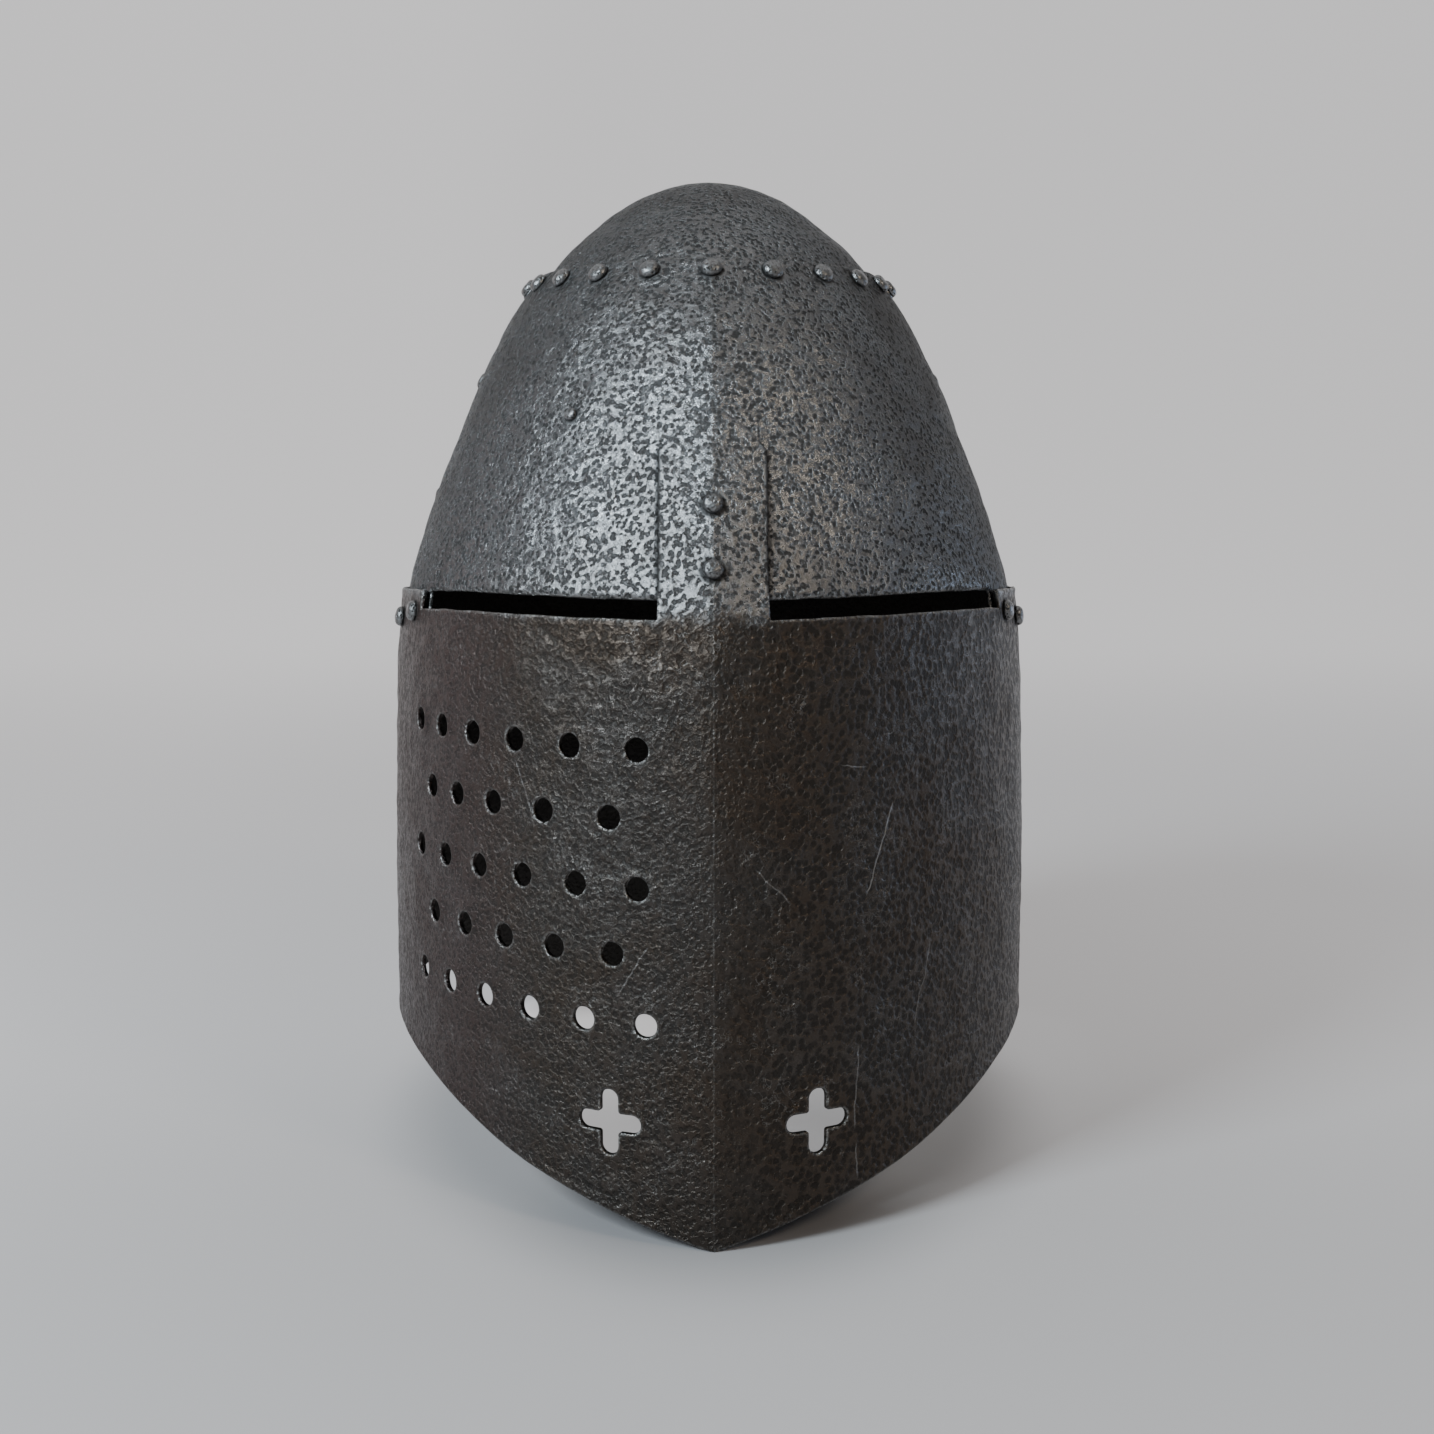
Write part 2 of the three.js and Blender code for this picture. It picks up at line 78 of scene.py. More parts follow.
BREATH_ROWS = [(0.8, 6, 1.126, 1.0, 0.16), (0.692, 5, 1.57, 1.005, 0.19),
               (0.582, 6, 1.126, 0.995, 0.024), (0.475, 5, 1.527, 1.005, 0.0),
               (0.364, 6, 1.01, 1.005, 0.0)]
CROSS_SPAN, CROSS_ARM, CROSS_ARC, CROSS_Z = 21.0, 6.0, 33.0, 38.6
# Rivets: radius and height of each ring of the head and of the peened tail
RIVET_SIDES, RIVET_RADIUS, PLUG_RADIUS = 28, 3.6, 2.2
RIVET_HEAD = [(0, 2.2), (0.8, 2.18), (1.6, 2.1), (2.3, 1.92), (2.85, 1.58), (3.25, 1.12),
              (3.5, 0.55), (3.6, -0.05), (3.52, -0.55)]
RIVET_TAIL = [(0, 1.05), (0.9, 1.0), (1.7, 0.8), (2.4, 0.4), (2.7, -0.05), (2.7, -0.6)]


def monotone_curve(points):
    """A smooth curve through points that never overshoots them."""
    x, y = (np.array(c, float) for c in zip(*points))
    h, d = np.diff(x), np.diff(y) / np.diff(x)
    m = np.zeros_like(y)
    for i in range(1, len(x) - 1):
        if d[i - 1] * d[i] > 0:
            a, b = 2 * h[i] + h[i - 1], h[i] + 2 * h[i - 1]
            m[i] = (a + b) / (a / d[i - 1] + b / d[i])
    m[0], m[-1] = d[0], d[-1]

    def value(at):
        at = np.clip(np.asarray(at, float), x[0], x[-1])
        i = np.clip(np.searchsorted(x, at, side="right") - 1, 0, len(x) - 2)
        t = (at - x[i]) / h[i]
        return ((2 * t**3 - 3 * t**2 + 1) * y[i] + (t**3 - 2 * t**2 + t) * h[i] * m[i]
                + (3 * t**2 - 2 * t**3) * y[i + 1] + (t**3 - t**2) * h[i] * m[i + 1])
    return value


width_at = monotone_curve(RINGS)
front_rim = monotone_curve(FRONT_RIM)


def section(angle, width, soften=0.003):
    """x and y on a level section: 0 at the keel, pi at the nape."""
    angle = np.asarray(angle, float)
    w = HALF_WIDTH * width
    keel = KEEL * w
    start = np.arcsin(keel / np.maximum(w + keel, 1e-9))
    front = FRONT_DEPTH * (DEPTH_FLOOR * (width > 0.02) + (1 - DEPTH_FLOOR) * width)
    front = front / np.cos(start)
    turn = np.abs(angle)
    tau = start + (QUARTER - start) * np.minimum(turn, QUARTER) / QUARTER
    soft = np.sqrt(turn**2 + soften**2)
    tau_y = start + (QUARTER - start) * np.minimum(soft, QUARTER) / QUARTER
    back = BACK_DEPTH * np.maximum(width, 0)**BACK_LEAN
    ahead = turn <= QUARTER
    x = np.where(ahead, np.sign(angle) * ((w + keel) * np.sin(tau) - keel), w * np.sin(angle))
    y = np.where(ahead, -front * np.cos(tau_y), -back * np.cos(turn))
    return x, y


def surface(angle, z):
    x, y = section(angle, width_at(z))
    return np.stack([x, y, z + 0 * x], -1)


def normals(angle, z):
    low = np.maximum(z - 1.5, 0.0)
    high = np.minimum(np.maximum(z + 1.5, 1.5), APEX - 0.02)
    up = surface(angle, high) - surface(angle, low)
    along = surface(angle + 0.004, z) - surface(angle - 0.004, z)
    n = np.cross(along, up)
    size = np.linalg.norm(n, axis=-1, keepdims=True)
    n = np.where(size > 1e-6, n / np.maximum(size, 1e-6), [0.0, 0.0, 1.0])
    top = np.clip((z - (APEX - 1.2)) / 1.0, 0, 1)[..., None]
    n = n * (1 - top) + np.array([0.0, 0.0, 1.0]) * top
    return n / np.linalg.norm(n, axis=-1, keepdims=True)


# Arc length round a full section against the angle
_angles = np.linspace(0, math.pi, 2401)
_xy = np.stack(section(_angles, np.ones_like(_angles), 0.0), -1)
_arcs = np.concatenate([[0], np.cumsum(np.linalg.norm(np.diff(_xy, axis=0), axis=1))])


def arc_of(angle):
    angle = np.asarray(angle, float)
    turn = np.abs(angle)
    beyond = turn > math.pi
    arc = np.interp(np.where(beyond, 2 * math.pi - turn, turn), _angles, _arcs)
    return np.sign(angle) * np.where(beyond, 2 * _arcs[-1] - arc, arc)


def angle_of(arc):
    arc = np.asarray(arc, float)
    size = np.abs(arc)
    beyond = size > _arcs[-1]
    turn = np.interp(np.where(beyond, 2 * _arcs[-1] - size, size), _arcs, _angles)
    return np.sign(arc) * np.where(beyond, 2 * math.pi - turn, turn)


def angle_at_arc(arc, z):
    """The angle at an arc length from the keel, round the section at one height."""
    pts = surface(_angles, np.full_like(_angles, z))[:, :2]
    run = np.concatenate([[0], np.cumsum(np.linalg.norm(np.diff(pts, axis=0), axis=1))])
    return float(np.sign(arc) * np.interp(abs(arc), run, _angles))


def arc_at_angle(angle, z):
    steps = np.linspace(0, angle, 721)
    pts = surface(steps, np.full_like(steps, z))[:, :2]
    return float(np.linalg.norm(np.diff(pts, axis=0), axis=1).sum())


LAP_ANGLE = angle_at_arc(arc_at_angle(QUARTER, FACE_TOP) + LAP, FACE_TOP)
SIGHT_ANGLE = angle_at_arc(SIGHT_ARC, FACE_TOP)
LAP_MIDDLE = (QUARTER + LAP_ANGLE) / 2
FLANGE_LOW = SIGHT_TOP - FLANGE
NAPE_TOP = FLANGE_LOW - 0.5
BACK_SKULL_LOW = NAPE_TOP - 22
CROWN_RIVET_Z = SEAM - CROWN_RIVET_DROP
CAP_LOW = CROWN_RIVET_Z - 11


def nasal_angle(share, z):
    width = width_at(z)
    w = HALF_WIDTH * width
    keel = KEEL * w
    start = np.arcsin(keel / (w + keel))
    tau = np.arcsin((share * NASAL_HALF + keel) / (w + keel))
    return QUARTER * (tau - start) / (QUARTER - start)


NASAL_ANGLE = float(nasal_angle(1.0, SIGHT_TOP))


def droop(angle):
    share = (np.abs(angle) - NASAL_ANGLE) / (SIGHT_ANGLE - NASAL_ANGLE)
    return SIGHT_DROOP * np.clip(share, 0, 1)**4


def rim_height(angle):
    turn = np.abs(angle)
    turn = np.where(turn > math.pi, 2 * math.pi - turn, turn)
    front = RIM_RISE * front_rim(arc_of(np.minimum(turn, QUARTER)) / arc_of(QUARTER))
    down = np.clip((np.degrees(turn) - 100) / 52, 0, 1)
    return np.where(turn <= QUARTER, front, RIM_RISE * (1 - down**2 * (3 - 2 * down)))


def tab_top(angle):
    share = np.clip((np.abs(angle) - SIGHT_ANGLE) / (QUARTER - SIGHT_ANGLE), 0, 1)
    return SIGHT_TOP - SIGHT_DROOP + (FACE_TOP - SIGHT_TOP + SIGHT_DROOP) * share


# Flat pattern of a plate: across is the arc shrunk with the section, up is the height
def to_pattern(angle, z):
    return np.stack([arc_of(angle) * width_at(z), z + 0 * np.asarray(angle, float)], -1)


def from_pattern(flat):
    z = flat[:, 1]
    return angle_of(flat[:, 0] / np.maximum(width_at(z), 1e-3)), z


def outline_part(angles, heights):
    angles = np.asarray(angles, float)
    return np.stack([angles + 0 * heights, heights + 0 * angles], -1)


def resample(points, spacing):
    """Points at even steps on a closed line, keeping its corners."""
    out = []
    for i, a in enumerate(points):
        b = points[(i + 1) % len(points)]
        n = max(1, int(round(np.linalg.norm(b - a) / spacing)))
        out.extend(a + (b - a) * k / n for k in range(n))
    return np.array(out)


def closed_pattern(parts, spacing=1.0):
    """Joins stretches of (angle, height) into one even closed line on the flat pattern."""
    line = np.concatenate(parts)
    flat = to_pattern(line[:, 0], line[:, 1])
    keep = [flat[0]]
    corner_cos = 0.93
    for i in range(1, len(flat)):
        step = flat[i] - keep[-1]
        size = np.linalg.norm(step)
        if size < 1e-6:
            continue
        nxt = flat[(i + 1) % len(flat)] - flat[i]
        bend = np.dot(step, nxt) / max(size * np.linalg.norm(nxt), 1e-9)
        if size >= spacing or bend < corner_cos:
            keep.append(flat[i])
    return resample(np.array(keep), spacing)


def inside(points, loops):
    """Even-odd test of points against closed lines."""
    result = np.zeros(len(points), bool)
    for loop in loops:
        a, b = loop, np.roll(loop, -1, axis=0)
        lo, hi = loop.min(0), loop.max(0)
        level = (points[:, 1] >= lo[1]) & (points[:, 1] <= hi[1])
        near = np.where(level & (points[:, 0] <= hi[0]))[0]
        for chunk in np.array_split(near, max(1, len(near) // 4000)):
            p = points[chunk]
            if not len(p):
                continue
            spans = (a[:, 1] > p[:, 1:2]) != (b[:, 1] > p[:, 1:2])
            rise = np.where(b[:, 1] == a[:, 1], 1e-12, b[:, 1] - a[:, 1])
            cross = a[:, 0] + (p[:, 1:2] - a[:, 1]) * (b[:, 0] - a[:, 0]) / rise
            result[chunk] ^= (spans & (p[:, 0:1] < cross)).sum(1) % 2 == 1
    return result


def nearest_distance(points, others):
    tree = kdtree.KDTree(len(others))
    for i, p in enumerate(others):
        tree.insert((p[0], p[1], 0), i)
    tree.balance()
    return np.array([tree.find((p[0], p[1], 0))[2] for p in points])


def inset_ring(loop, distance, loops):
    """Points a little inside the plate from one of its edges."""
    ahead = np.roll(loop, -1, axis=0) - np.roll(loop, 1, axis=0)
    ahead /= np.maximum(np.linalg.norm(ahead, axis=1, keepdims=True), 1e-9)
    side = np.stack([-ahead[:, 1], ahead[:, 0]], -1)
    ring = loop + side * distance
    if inside(ring, loops).mean() < 0.5:
        ring = loop - side * distance
    ring = ring[inside(ring, loops)]
    everything = np.concatenate([resample(l, 0.4) for l in loops])
    return ring[nearest_distance(ring, everything) > distance * 0.8]


def hex_grid(lo, hi, spacing, seed):
    rng = np.random.default_rng(seed)
    rows = int((hi[1] - lo[1]) / (spacing * HEX_ROW)) + 2
    cols = int((hi[0] - lo[0]) / spacing) + 2
    x, y = np.meshgrid(np.arange(cols) * spacing, np.arange(rows) * spacing * HEX_ROW)
    x[::2] += spacing / 2
    pts = np.stack([x.ravel() + lo[0], y.ravel() + lo[1]], -1)
    return pts + rng.uniform(-0.12, 0.12, pts.shape) * spacing


def triangulate(loops, rings, spacing, seed, creases):
    """Fills the pattern with even triangles: points, faces, and where each given point ended up.
    The loops' points come first, in order."""
    everything = np.concatenate(loops)
    grid = hex_grid(everything.min(0), everything.max(0), spacing, seed)
    grid = grid[inside(grid, loops)]
    fixed = [everything] + rings
    edges, base = [], 0
    for loop in loops:
        n = len(loop)
        edges += [(base + i, base + (i + 1) % n) for i in range(n)]
        base += n
    for ring in rings:
        base += len(ring)
    for crease in creases:
        fixed.append(crease)
        edges += [(base + i, base + i + 1) for i in range(len(crease) - 1)]
        base += len(crease)
    fixed = np.concatenate(fixed)
    grid = grid[nearest_distance(grid, fixed) > spacing * 0.62]
    points = np.concatenate([fixed, grid])
    result = delaunay_2d_cdt([Vector(p) for p in points.tolist()], edges, [], 0, 1e-7)
    verts = np.array([v[:] for v in result[0]])
    faces = np.array(result[2])
    origin = result[3]
    middle = verts[faces].mean(1)
    faces = faces[inside(middle, loops)]
    where = np.full(len(points), -1)
    for new, olds in enumerate(origin):
        for old in olds:
            where[old] = new
    return verts, faces, where


def value_noise(points, scale, shift):
    off = Vector(shift)
    return np.array([noise.noise(Vector(p) * scale + off) for p in points.tolist()])


def hammering(points, amount, seed):
    """Depth of the hammer marks and shallow dents, never above the sheet's true face."""
    nose = points - np.array([-16, 0, 182])
    near_nose = np.exp(-(nose[:, 0] / 34)**2 - (nose[:, 2] / 9)**2) * (points[:, 1] < -40)
    broad = value_noise(points, 1 / 34, (seed, 3.1, 7.7))
    middle = value_noise(points, 1 / 13, (7.3, seed, 1.9))
    small = value_noise(points, 1 / 5.2, (2.2, 9.1, seed))
    wrinkle = value_noise(points * np.array([0.6, 1, 1.3]), 1 / 5.5, (8.2, seed, 4.1))
    depth = 0.5 + 0.26 * broad + (0.38 + 0.3 * near_nose) * middle
    depth = depth + 0.26 * small + 0.9 * near_nose * wrinkle
    return -amount * np.clip(depth, 0, 1.2)


def build_mesh(name, verts, faces, edge_distance, seam_distance, on_keel=None):
    mesh = bpy.data.meshes.new(name)
    mesh.vertices.add(len(verts))
    mesh.vertices.foreach_set("co", (verts / 1000).astype(np.float32).ravel())
    mesh.loops.add(3 * len(faces))
    mesh.loops.foreach_set("vertex_index", faces.astype(np.int32).ravel())
    mesh.polygons.add(len(faces))
    mesh.polygons.foreach_set("loop_start", np.arange(0, 3 * len(faces), 3, dtype=np.int32))
    mesh.polygons.foreach_set("use_smooth", np.ones(len(faces), bool))
    mesh.update(calc_edges=True)
    wear = mesh.attributes.new("edge_mm", "FLOAT", "POINT")
    wear.data.foreach_set("value", edge_distance.astype(np.float32))
    # seam_mm is the distance from seams and rivet heads, which the steel darkens with dirt and painted
    # shade
    dirt_and_shade = mesh.attributes.new("seam_mm", "FLOAT", "POINT")
    dirt_and_shade.data.foreach_set("value", np.minimum(seam_distance, FAR).astype(np.float32))
    if on_keel is not None:
        pairs = np.empty(2 * len(mesh.edges), np.int32)
        mesh.edges.foreach_get("vertices", pairs)
        both = on_keel[pairs.reshape(-1, 2)].all(1)
        mesh.attributes.new("sharp_edge", "BOOLEAN", "EDGE").data.foreach_set("value", both)
    mesh.validate()
    obj = bpy.data.objects.new(name, mesh)
    bpy.context.scene.collection.objects.link(obj)
    return obj


def from_rivets(points):
    """Distance from the nearest rivet head's edge, zero under the head."""
    out = np.full(len(points), FAR)
    for _, angle, z, _, _, small in rivet_places():
        centre = surface(np.array(angle), np.array(z))
        away = np.linalg.norm(points - centre, axis=1) - (2.2 if small else 3.4)
        out = np.minimum(out, np.maximum(away, 0))
    return out


def no_seam(angle, z):
    return np.full(len(z), FAR)


def plate(name, loops, place, layer, spacing, seed, dents=1.0, creases=(), keel_rings=(),
          under=None, seam=no_seam, groove=0.0, edge_roll=None, calm=None):
    """One bent sheet: a fine outer face, a coarse inner face and the cut edges between them.
    place takes the flat pattern to the helm, layer and under give the offset of the two faces,
    seam the distance from seams, which the steel darkens with dirt and painted shade, and calm where
    the hammering is weaker."""
    rings = [inset_ring(loop, d, loops) for loop in loops for d in (0.3, 0.8)]
    rings += [r[inside(r, loops)] for r in keel_rings]
    rings = [r for r in rings if len(r)]
    creases = [c[inside(c, loops)] for c in creases]
    flat, faces, where = triangulate(loops, rings, spacing, seed, creases)
    edge_points = np.concatenate([resample(l, 0.5) for l in loops])
    distance = nearest_distance(flat, edge_points)
    angle, z = place(flat)
    base, out = surface(angle, z), normals(angle, z)
    rounding = 0.4 * np.clip(1 - distance / 0.8, 0, 1)**2
    if edge_roll is not None:
        rounding = np.maximum(rounding, edge_roll(angle, z, distance))
    seam_distance = np.minimum(seam(angle, z), from_rivets(base))
    rounding = rounding + groove * np.exp(-(np.maximum(seam(angle, z), 0) / 1.1)**2)
    offset = layer(angle, z)
    depth = hammering(base, dents, seed) * np.clip(distance / 3.0, 0.25, 1)
    if calm is not None:
        depth = depth * calm(angle, z)
    outer = base + out * (offset - rounding + depth - SHY)[:, None]

    flat_in, faces_in, where_in = triangulate(loops, [], 6.5, seed + 1, creases)
    angle_in, z_in = place(flat_in)
    base_in, out_in = surface(angle_in, z_in), normals(angle_in, z_in)
    wave = 0.25 * value_noise(base_in, 1 / 16, (seed, 5.5, 2.5))
    low = layer(angle_in, z_in) - WALL if under is None else under(angle_in, z_in)
    inner = base_in + out_in * (low + np.minimum(wave, 0))[:, None]

    total = len(outer)
    all_faces = [faces, faces_in[:, ::-1] + total]
    base_index = 0
    for loop in loops:
        n = len(loop)
        i = np.arange(n)
        a, b = where[base_index + i], where[base_index + (i + 1) % n]
        c, d = where_in[base_index + i] + total, where_in[base_index + (i + 1) % n] + total
        wall = np.concatenate([np.stack([a, c, b], -1), np.stack([b, c, d], -1)])
        area = np.sum(loop[:, 0] * np.roll(loop[:, 1], -1) - loop[:, 1] * np.roll(loop[:, 0], -1))
        is_hole = base_index > 0
        if (area < 0) != is_hole:
            wall = wall[:, ::-1]
        all_faces.append(wall)
        base_index += n
    verts = np.concatenate([outer, inner])
    verts[:, 1] += Y_SHIFT
    verts[:, 2] = np.maximum(verts[:, 2], 0)
    distance = np.where(np.abs(seam_distance) < 2.5, np.maximum(distance, 3), distance)
    if len(creases):
        distance = np.minimum(distance, np.abs(flat[:, 0]) + 0.6)
    edge = np.concatenate([np.minimum(distance, EDGE_REACH), np.full(len(inner), FAR)])
    seam_all = np.concatenate([np.abs(seam_distance), np.full(len(inner), FAR)])
    on_keel = (np.abs(angle) < 1e-7) & bool(len(creases))
    on_keel = np.concatenate([on_keel, np.zeros(len(inner), bool)])
    return build_mesh(name, verts, np.concatenate(all_faces), edge, seam_all, on_keel)


def wobble(line, amount, seed, keep=None):
    """A hand-cut edge: small wanders along it."""
    n = np.array([[noise.noise(Vector((x * WOBBLE_EVERY, y * WOBBLE_EVERY, seed + more)))
                   for more in (0, 40)] for x, y in line.tolist()])
    if keep is not None:
        n[keep(line)] = 0
    return line + amount * n


def hole_loop(arc, z, shape):
    """A closed line of points around a place on the face, from offsets along and up the sheet."""
    angle = angle_at_arc(arc, z)
    centre = to_pattern(np.array([angle]), np.array([z]))[0]
    height = np.array(z)
    one = surface(np.array(angle + 0.01), height) - surface(np.array(angle), height)
    one = float(np.linalg.norm(one))
    stretch = (float(arc_of(angle + 0.01) - arc_of(angle)) * float(width_at(z))) / one
    return centre + shape * np.array([stretch, 1.0])


def circle(radius, count, seed):
    t = np.linspace(0, 2 * math.pi, count, endpoint=False)
    lumps = [noise.noise(Vector((math.cos(a), math.sin(a), seed * 3.3))) for a in t]
    r = radius * (1 + 0.02 * np.array(lumps))
    return np.stack([r * np.cos(t), r * np.sin(t)], -1)


def cross():
    """A cross with round arms and small fillets in its inner corners."""
    r, reach = CROSS_ARM / 2, CROSS_SPAN / 2 - CROSS_ARM / 2
    fillet = 0.9
    out = []
    for arm in range(4):
        turn = arm * QUARTER
        spin = np.array([[math.cos(turn), math.sin(turn)], [-math.sin(turn), math.cos(turn)]])
        tip = [(reach + r * math.cos(a), r * math.sin(a)) for a in np.linspace(-QUARTER, QUARTER, 15)]
        bend = [(r + fillet - fillet * math.sin(a), r + fillet - fillet * math.cos(a))
                for a in np.linspace(0, QUARTER, 5)]
        out.extend((np.array(tip) @ spin).tolist())
        out.extend((np.array(bend) @ spin).tolist())
    return resample(np.array(out), 0.6)


def layer_of(n):
    return lambda angle, z: n * STEP + 0 * z


def smooth(t):
    t = np.clip(t, 0, 1)
    return t * t * (3 - 2 * t)


def face_layer(angle, z):
    thin = smooth((z - FACE_TOP + 1) / (SIGHT + 3)) * (np.abs(angle) < LAP_ANGLE / 2)
    return STEP + (STRIP_TOP - STEP) * thin


def face_under_all(angle, z):
    thin = smooth((z - FACE_TOP - 1) / SIGHT) * (np.abs(angle) < LAP_ANGLE / 2)
    return STEP - WALL + (STRIP_UNDER - STEP + WALL) * thin


def strip_calm(angle, z):
    """Hammering is weaker on the thin strip."""
    return 1 - 0.65 * smooth((z - FACE_TOP - 1) / SIGHT)


def strip_edge(angle, z):
    """Distance inside the strip's own edge, above the sights."""
    away = np.abs(strip_seam(angle, z))
    return np.where(z > SIGHT_TOP + 1, away, FAR)


def strip_side():
    """One edge of the nasal strip and half of its pointed top, as angles and heights."""
    edge = np.linspace(FACE_TOP, SIGHT_TOP + NASAL_SHOULDER, 60)
    arch = np.linspace(0, 1, 24)
    rise = (NASAL_APEX - NASAL_SHOULDER) * (arch + 0.12 * np.sin(arch * math.pi))
    arch_z = SIGHT_TOP + NASAL_SHOULDER + rise
    return [outline_part(nasal_angle(1.0, edge), edge),
            outline_part(nasal_angle(1 - arch, arch_z), arch_z)]


def strip_outline():
    """The nasal strip's edge in the pattern, from one sight round the point to the other."""
    side = np.concatenate(strip_side())
    half = to_pattern(side[:, 0], side[:, 1])
    return np.concatenate([half, np.stack([-half[::-1, 0], half[::-1, 1]], -1)])


def strip_seam(angle, z):
    """Distance from the strip's edge, negative under the strip."""
    flat = to_pattern(angle, z)
    line = strip_outline()
    near = (np.abs(flat[:, 0]) < 30) & (flat[:, 1] < SIGHT_TOP + NASAL_APEX + 8)
    out = np.full(len(z), FAR)
    if near.any():
        away = nearest_distance(flat[near], resample_open(line, 0.25))
        closed = np.concatenate([line, [[line[-1][0], 100.0], [line[0][0], 100.0]]])
        within = inside(flat[near], [closed])
        away = away + 0.5 * smooth((flat[near, 1] - SIGHT_TOP - NASAL_SHOULDER) / 4)
        out[near] = np.where(within, -away, away)
    return out


def resample_open(line, spacing):
    run = np.concatenate([[0], np.cumsum(np.linalg.norm(np.diff(line, axis=0), axis=1))])
    at = np.linspace(0, run[-1], int(run[-1] / spacing) + 2)
    return np.stack([np.interp(at, run, line[:, 0]), np.interp(at, run, line[:, 1])], -1)


def beside_strip():
    """Rows of points just outside the strip's edge, for the groove there."""
    line = resample_open(strip_outline(), 0.9)
    ahead = np.gradient(line, axis=0)
    ahead /= np.linalg.norm(ahead, axis=1, keepdims=True)
    out = np.stack([-ahead[:, 1], ahead[:, 0]], -1)
    if (line[10] + out[10])[0] * np.sign(line[10][0]) < abs(line[10][0]):
        out = -out
    return [line + out * d for d in (0.0, 0.45, 1.0, 1.7)]


def sight_roll(angle, z, distance):
    """The brow's lower edge is rolled back along the sights."""
    return 1.1 * np.clip(1 - distance / 1.9, 0, 1)**1.5 * (z < SIGHT_TOP + 4)


def lap_seam(z_low, z_high, layer_arc):
    """Distance behind the front plates' side edges and under an edge at one height."""
    def distance(angle, z):
        turn = np.abs((angle + math.pi) % (2 * math.pi) - math.pi)
        side = np.abs(turn - LAP_ANGLE) * layer_arc
        level = np.minimum(np.abs(z - z_low), np.abs(z - z_high))
        return np.minimum(side, level)
    return distance


def keel_lines(z0, z1):
    """The keel's crease and rows of points beside it."""
    heights = np.arange(z0, z1, 1.1)
    crease = np.stack([0 * heights, heights], -1)
    sides = [np.stack([0 * heights + s, heights + 0.5], -1) for s in (-1.7, -0.8, 0.8, 1.7)]
    return [crease], sides


def mirrored(parts):
    """Adds the same stretches on the other side, walked the other way."""
    return parts + [np.stack([-p[::-1, 0], p[::-1, 1]], -1) for p in parts[::-1]]


def face_loops():
    turn = np.linspace(0, LAP_ANGLE, 320)
    top = np.linspace(LAP_ANGLE, SIGHT_ANGLE, 80)
    sill = np.linspace(SIGHT_ANGLE, NASAL_ANGLE, 150)
    lap = np.linspace(float(rim_height(LAP_ANGLE)), float(tab_top(LAP_ANGLE)), 120)
    parts = [
        outline_part(turn, rim_height(turn)),
        outline_part(np.full(120, LAP_ANGLE), lap),
        outline_part(top, tab_top(top)),
        outline_part(sill, FACE_TOP - droop(sill)),
        *strip_side(),
    ]
    outer = closed_pattern(mirrored(parts))
    outer = wobble(outer, 0.3, 11.0, keep=lambda l: l[:, 1] < 60)
    loops = [outer]
    n = 0
    for share, holes, start, step, spread in BREATH_ROWS:
        for i in range(holes):
            t = i / (holes - 1)
            arc = BREATH_PITCH * (start + step * i + 4 * spread * t * (1 - t))
            loops.append(hole_loop(-arc, share * FACE_TOP, circle(BREATH_RADIUS, 34, n)))
            n += 1
    for side in (-1, 1):
        loops.append(hole_loop(side * CROSS_ARC, CROSS_Z, cross()))
    return loops


def brow_loops():
    low = np.linspace(LAP_ANGLE, SIGHT_ANGLE, 80)
    sight = np.linspace(SIGHT_ANGLE, 0, 180)
    top = np.linspace(0, LAP_ANGLE, 200)
    parts = [
        outline_part(top, np.full(200, SEAM)),
        outline_part(np.full(120, LAP_ANGLE), np.linspace(SEAM, FLANGE_LOW, 120)),
        outline_part(low, np.full(80, FLANGE_LOW)),
        outline_part(np.full(10, SIGHT_ANGLE),
                     np.linspace(FLANGE_LOW, SIGHT_TOP - SIGHT_DROOP, 10)),
        outline_part(sight, SIGHT_TOP - droop(sight)),
    ]
    return [wobble(closed_pattern(mirrored(parts)), 0.25, 4.0)]


def band_loops(low, high):
    """A plate round the back between two heights given along the angle."""
    turn = np.linspace(QUARTER, 2 * math.pi - QUARTER, 420)
    side = np.linspace(0, 1, 120)
    first, last = turn[0], turn[-1]
    parts = [
        outline_part(turn, low(turn)),
        outline_part(np.full(120, last), low(last) + side * (high(last) - low(last))),
        outline_part(turn[::-1], high(turn[::-1])),
        outline_part(np.full(120, first), high(first) + side * (low(first) - high(first))),
    ]
    return [closed_pattern(parts)]


# The crown's pattern is a disc: distance from the apex along the dome, and the angle
_cap_z = np.linspace(APEX, CAP_LOW, 1600)
_cap_r = HALF_WIDTH * width_at(_cap_z)
_cap_run = np.concatenate([[0], np.cumsum(np.hypot(np.diff(_cap_r), np.diff(_cap_z)))])


def cap_place(flat):
    r = np.hypot(flat[:, 0], flat[:, 1])
    z = np.interp(r, _cap_run, _cap_z)
    angle = np.arctan2(flat[:, 0], -flat[:, 1])
    return angle, z


def cap_layer(angle, z):
    fade_end = SEAM + 0.58 * CROWN
    fade = np.clip((fade_end - z) / (fade_end - SEAM), 0, 1)
    turn = np.clip((np.degrees(np.abs(angle)) - 74) / 16, 0, 1)
    return -STEP * (1 + fade * turn * turn * (3 - 2 * turn))


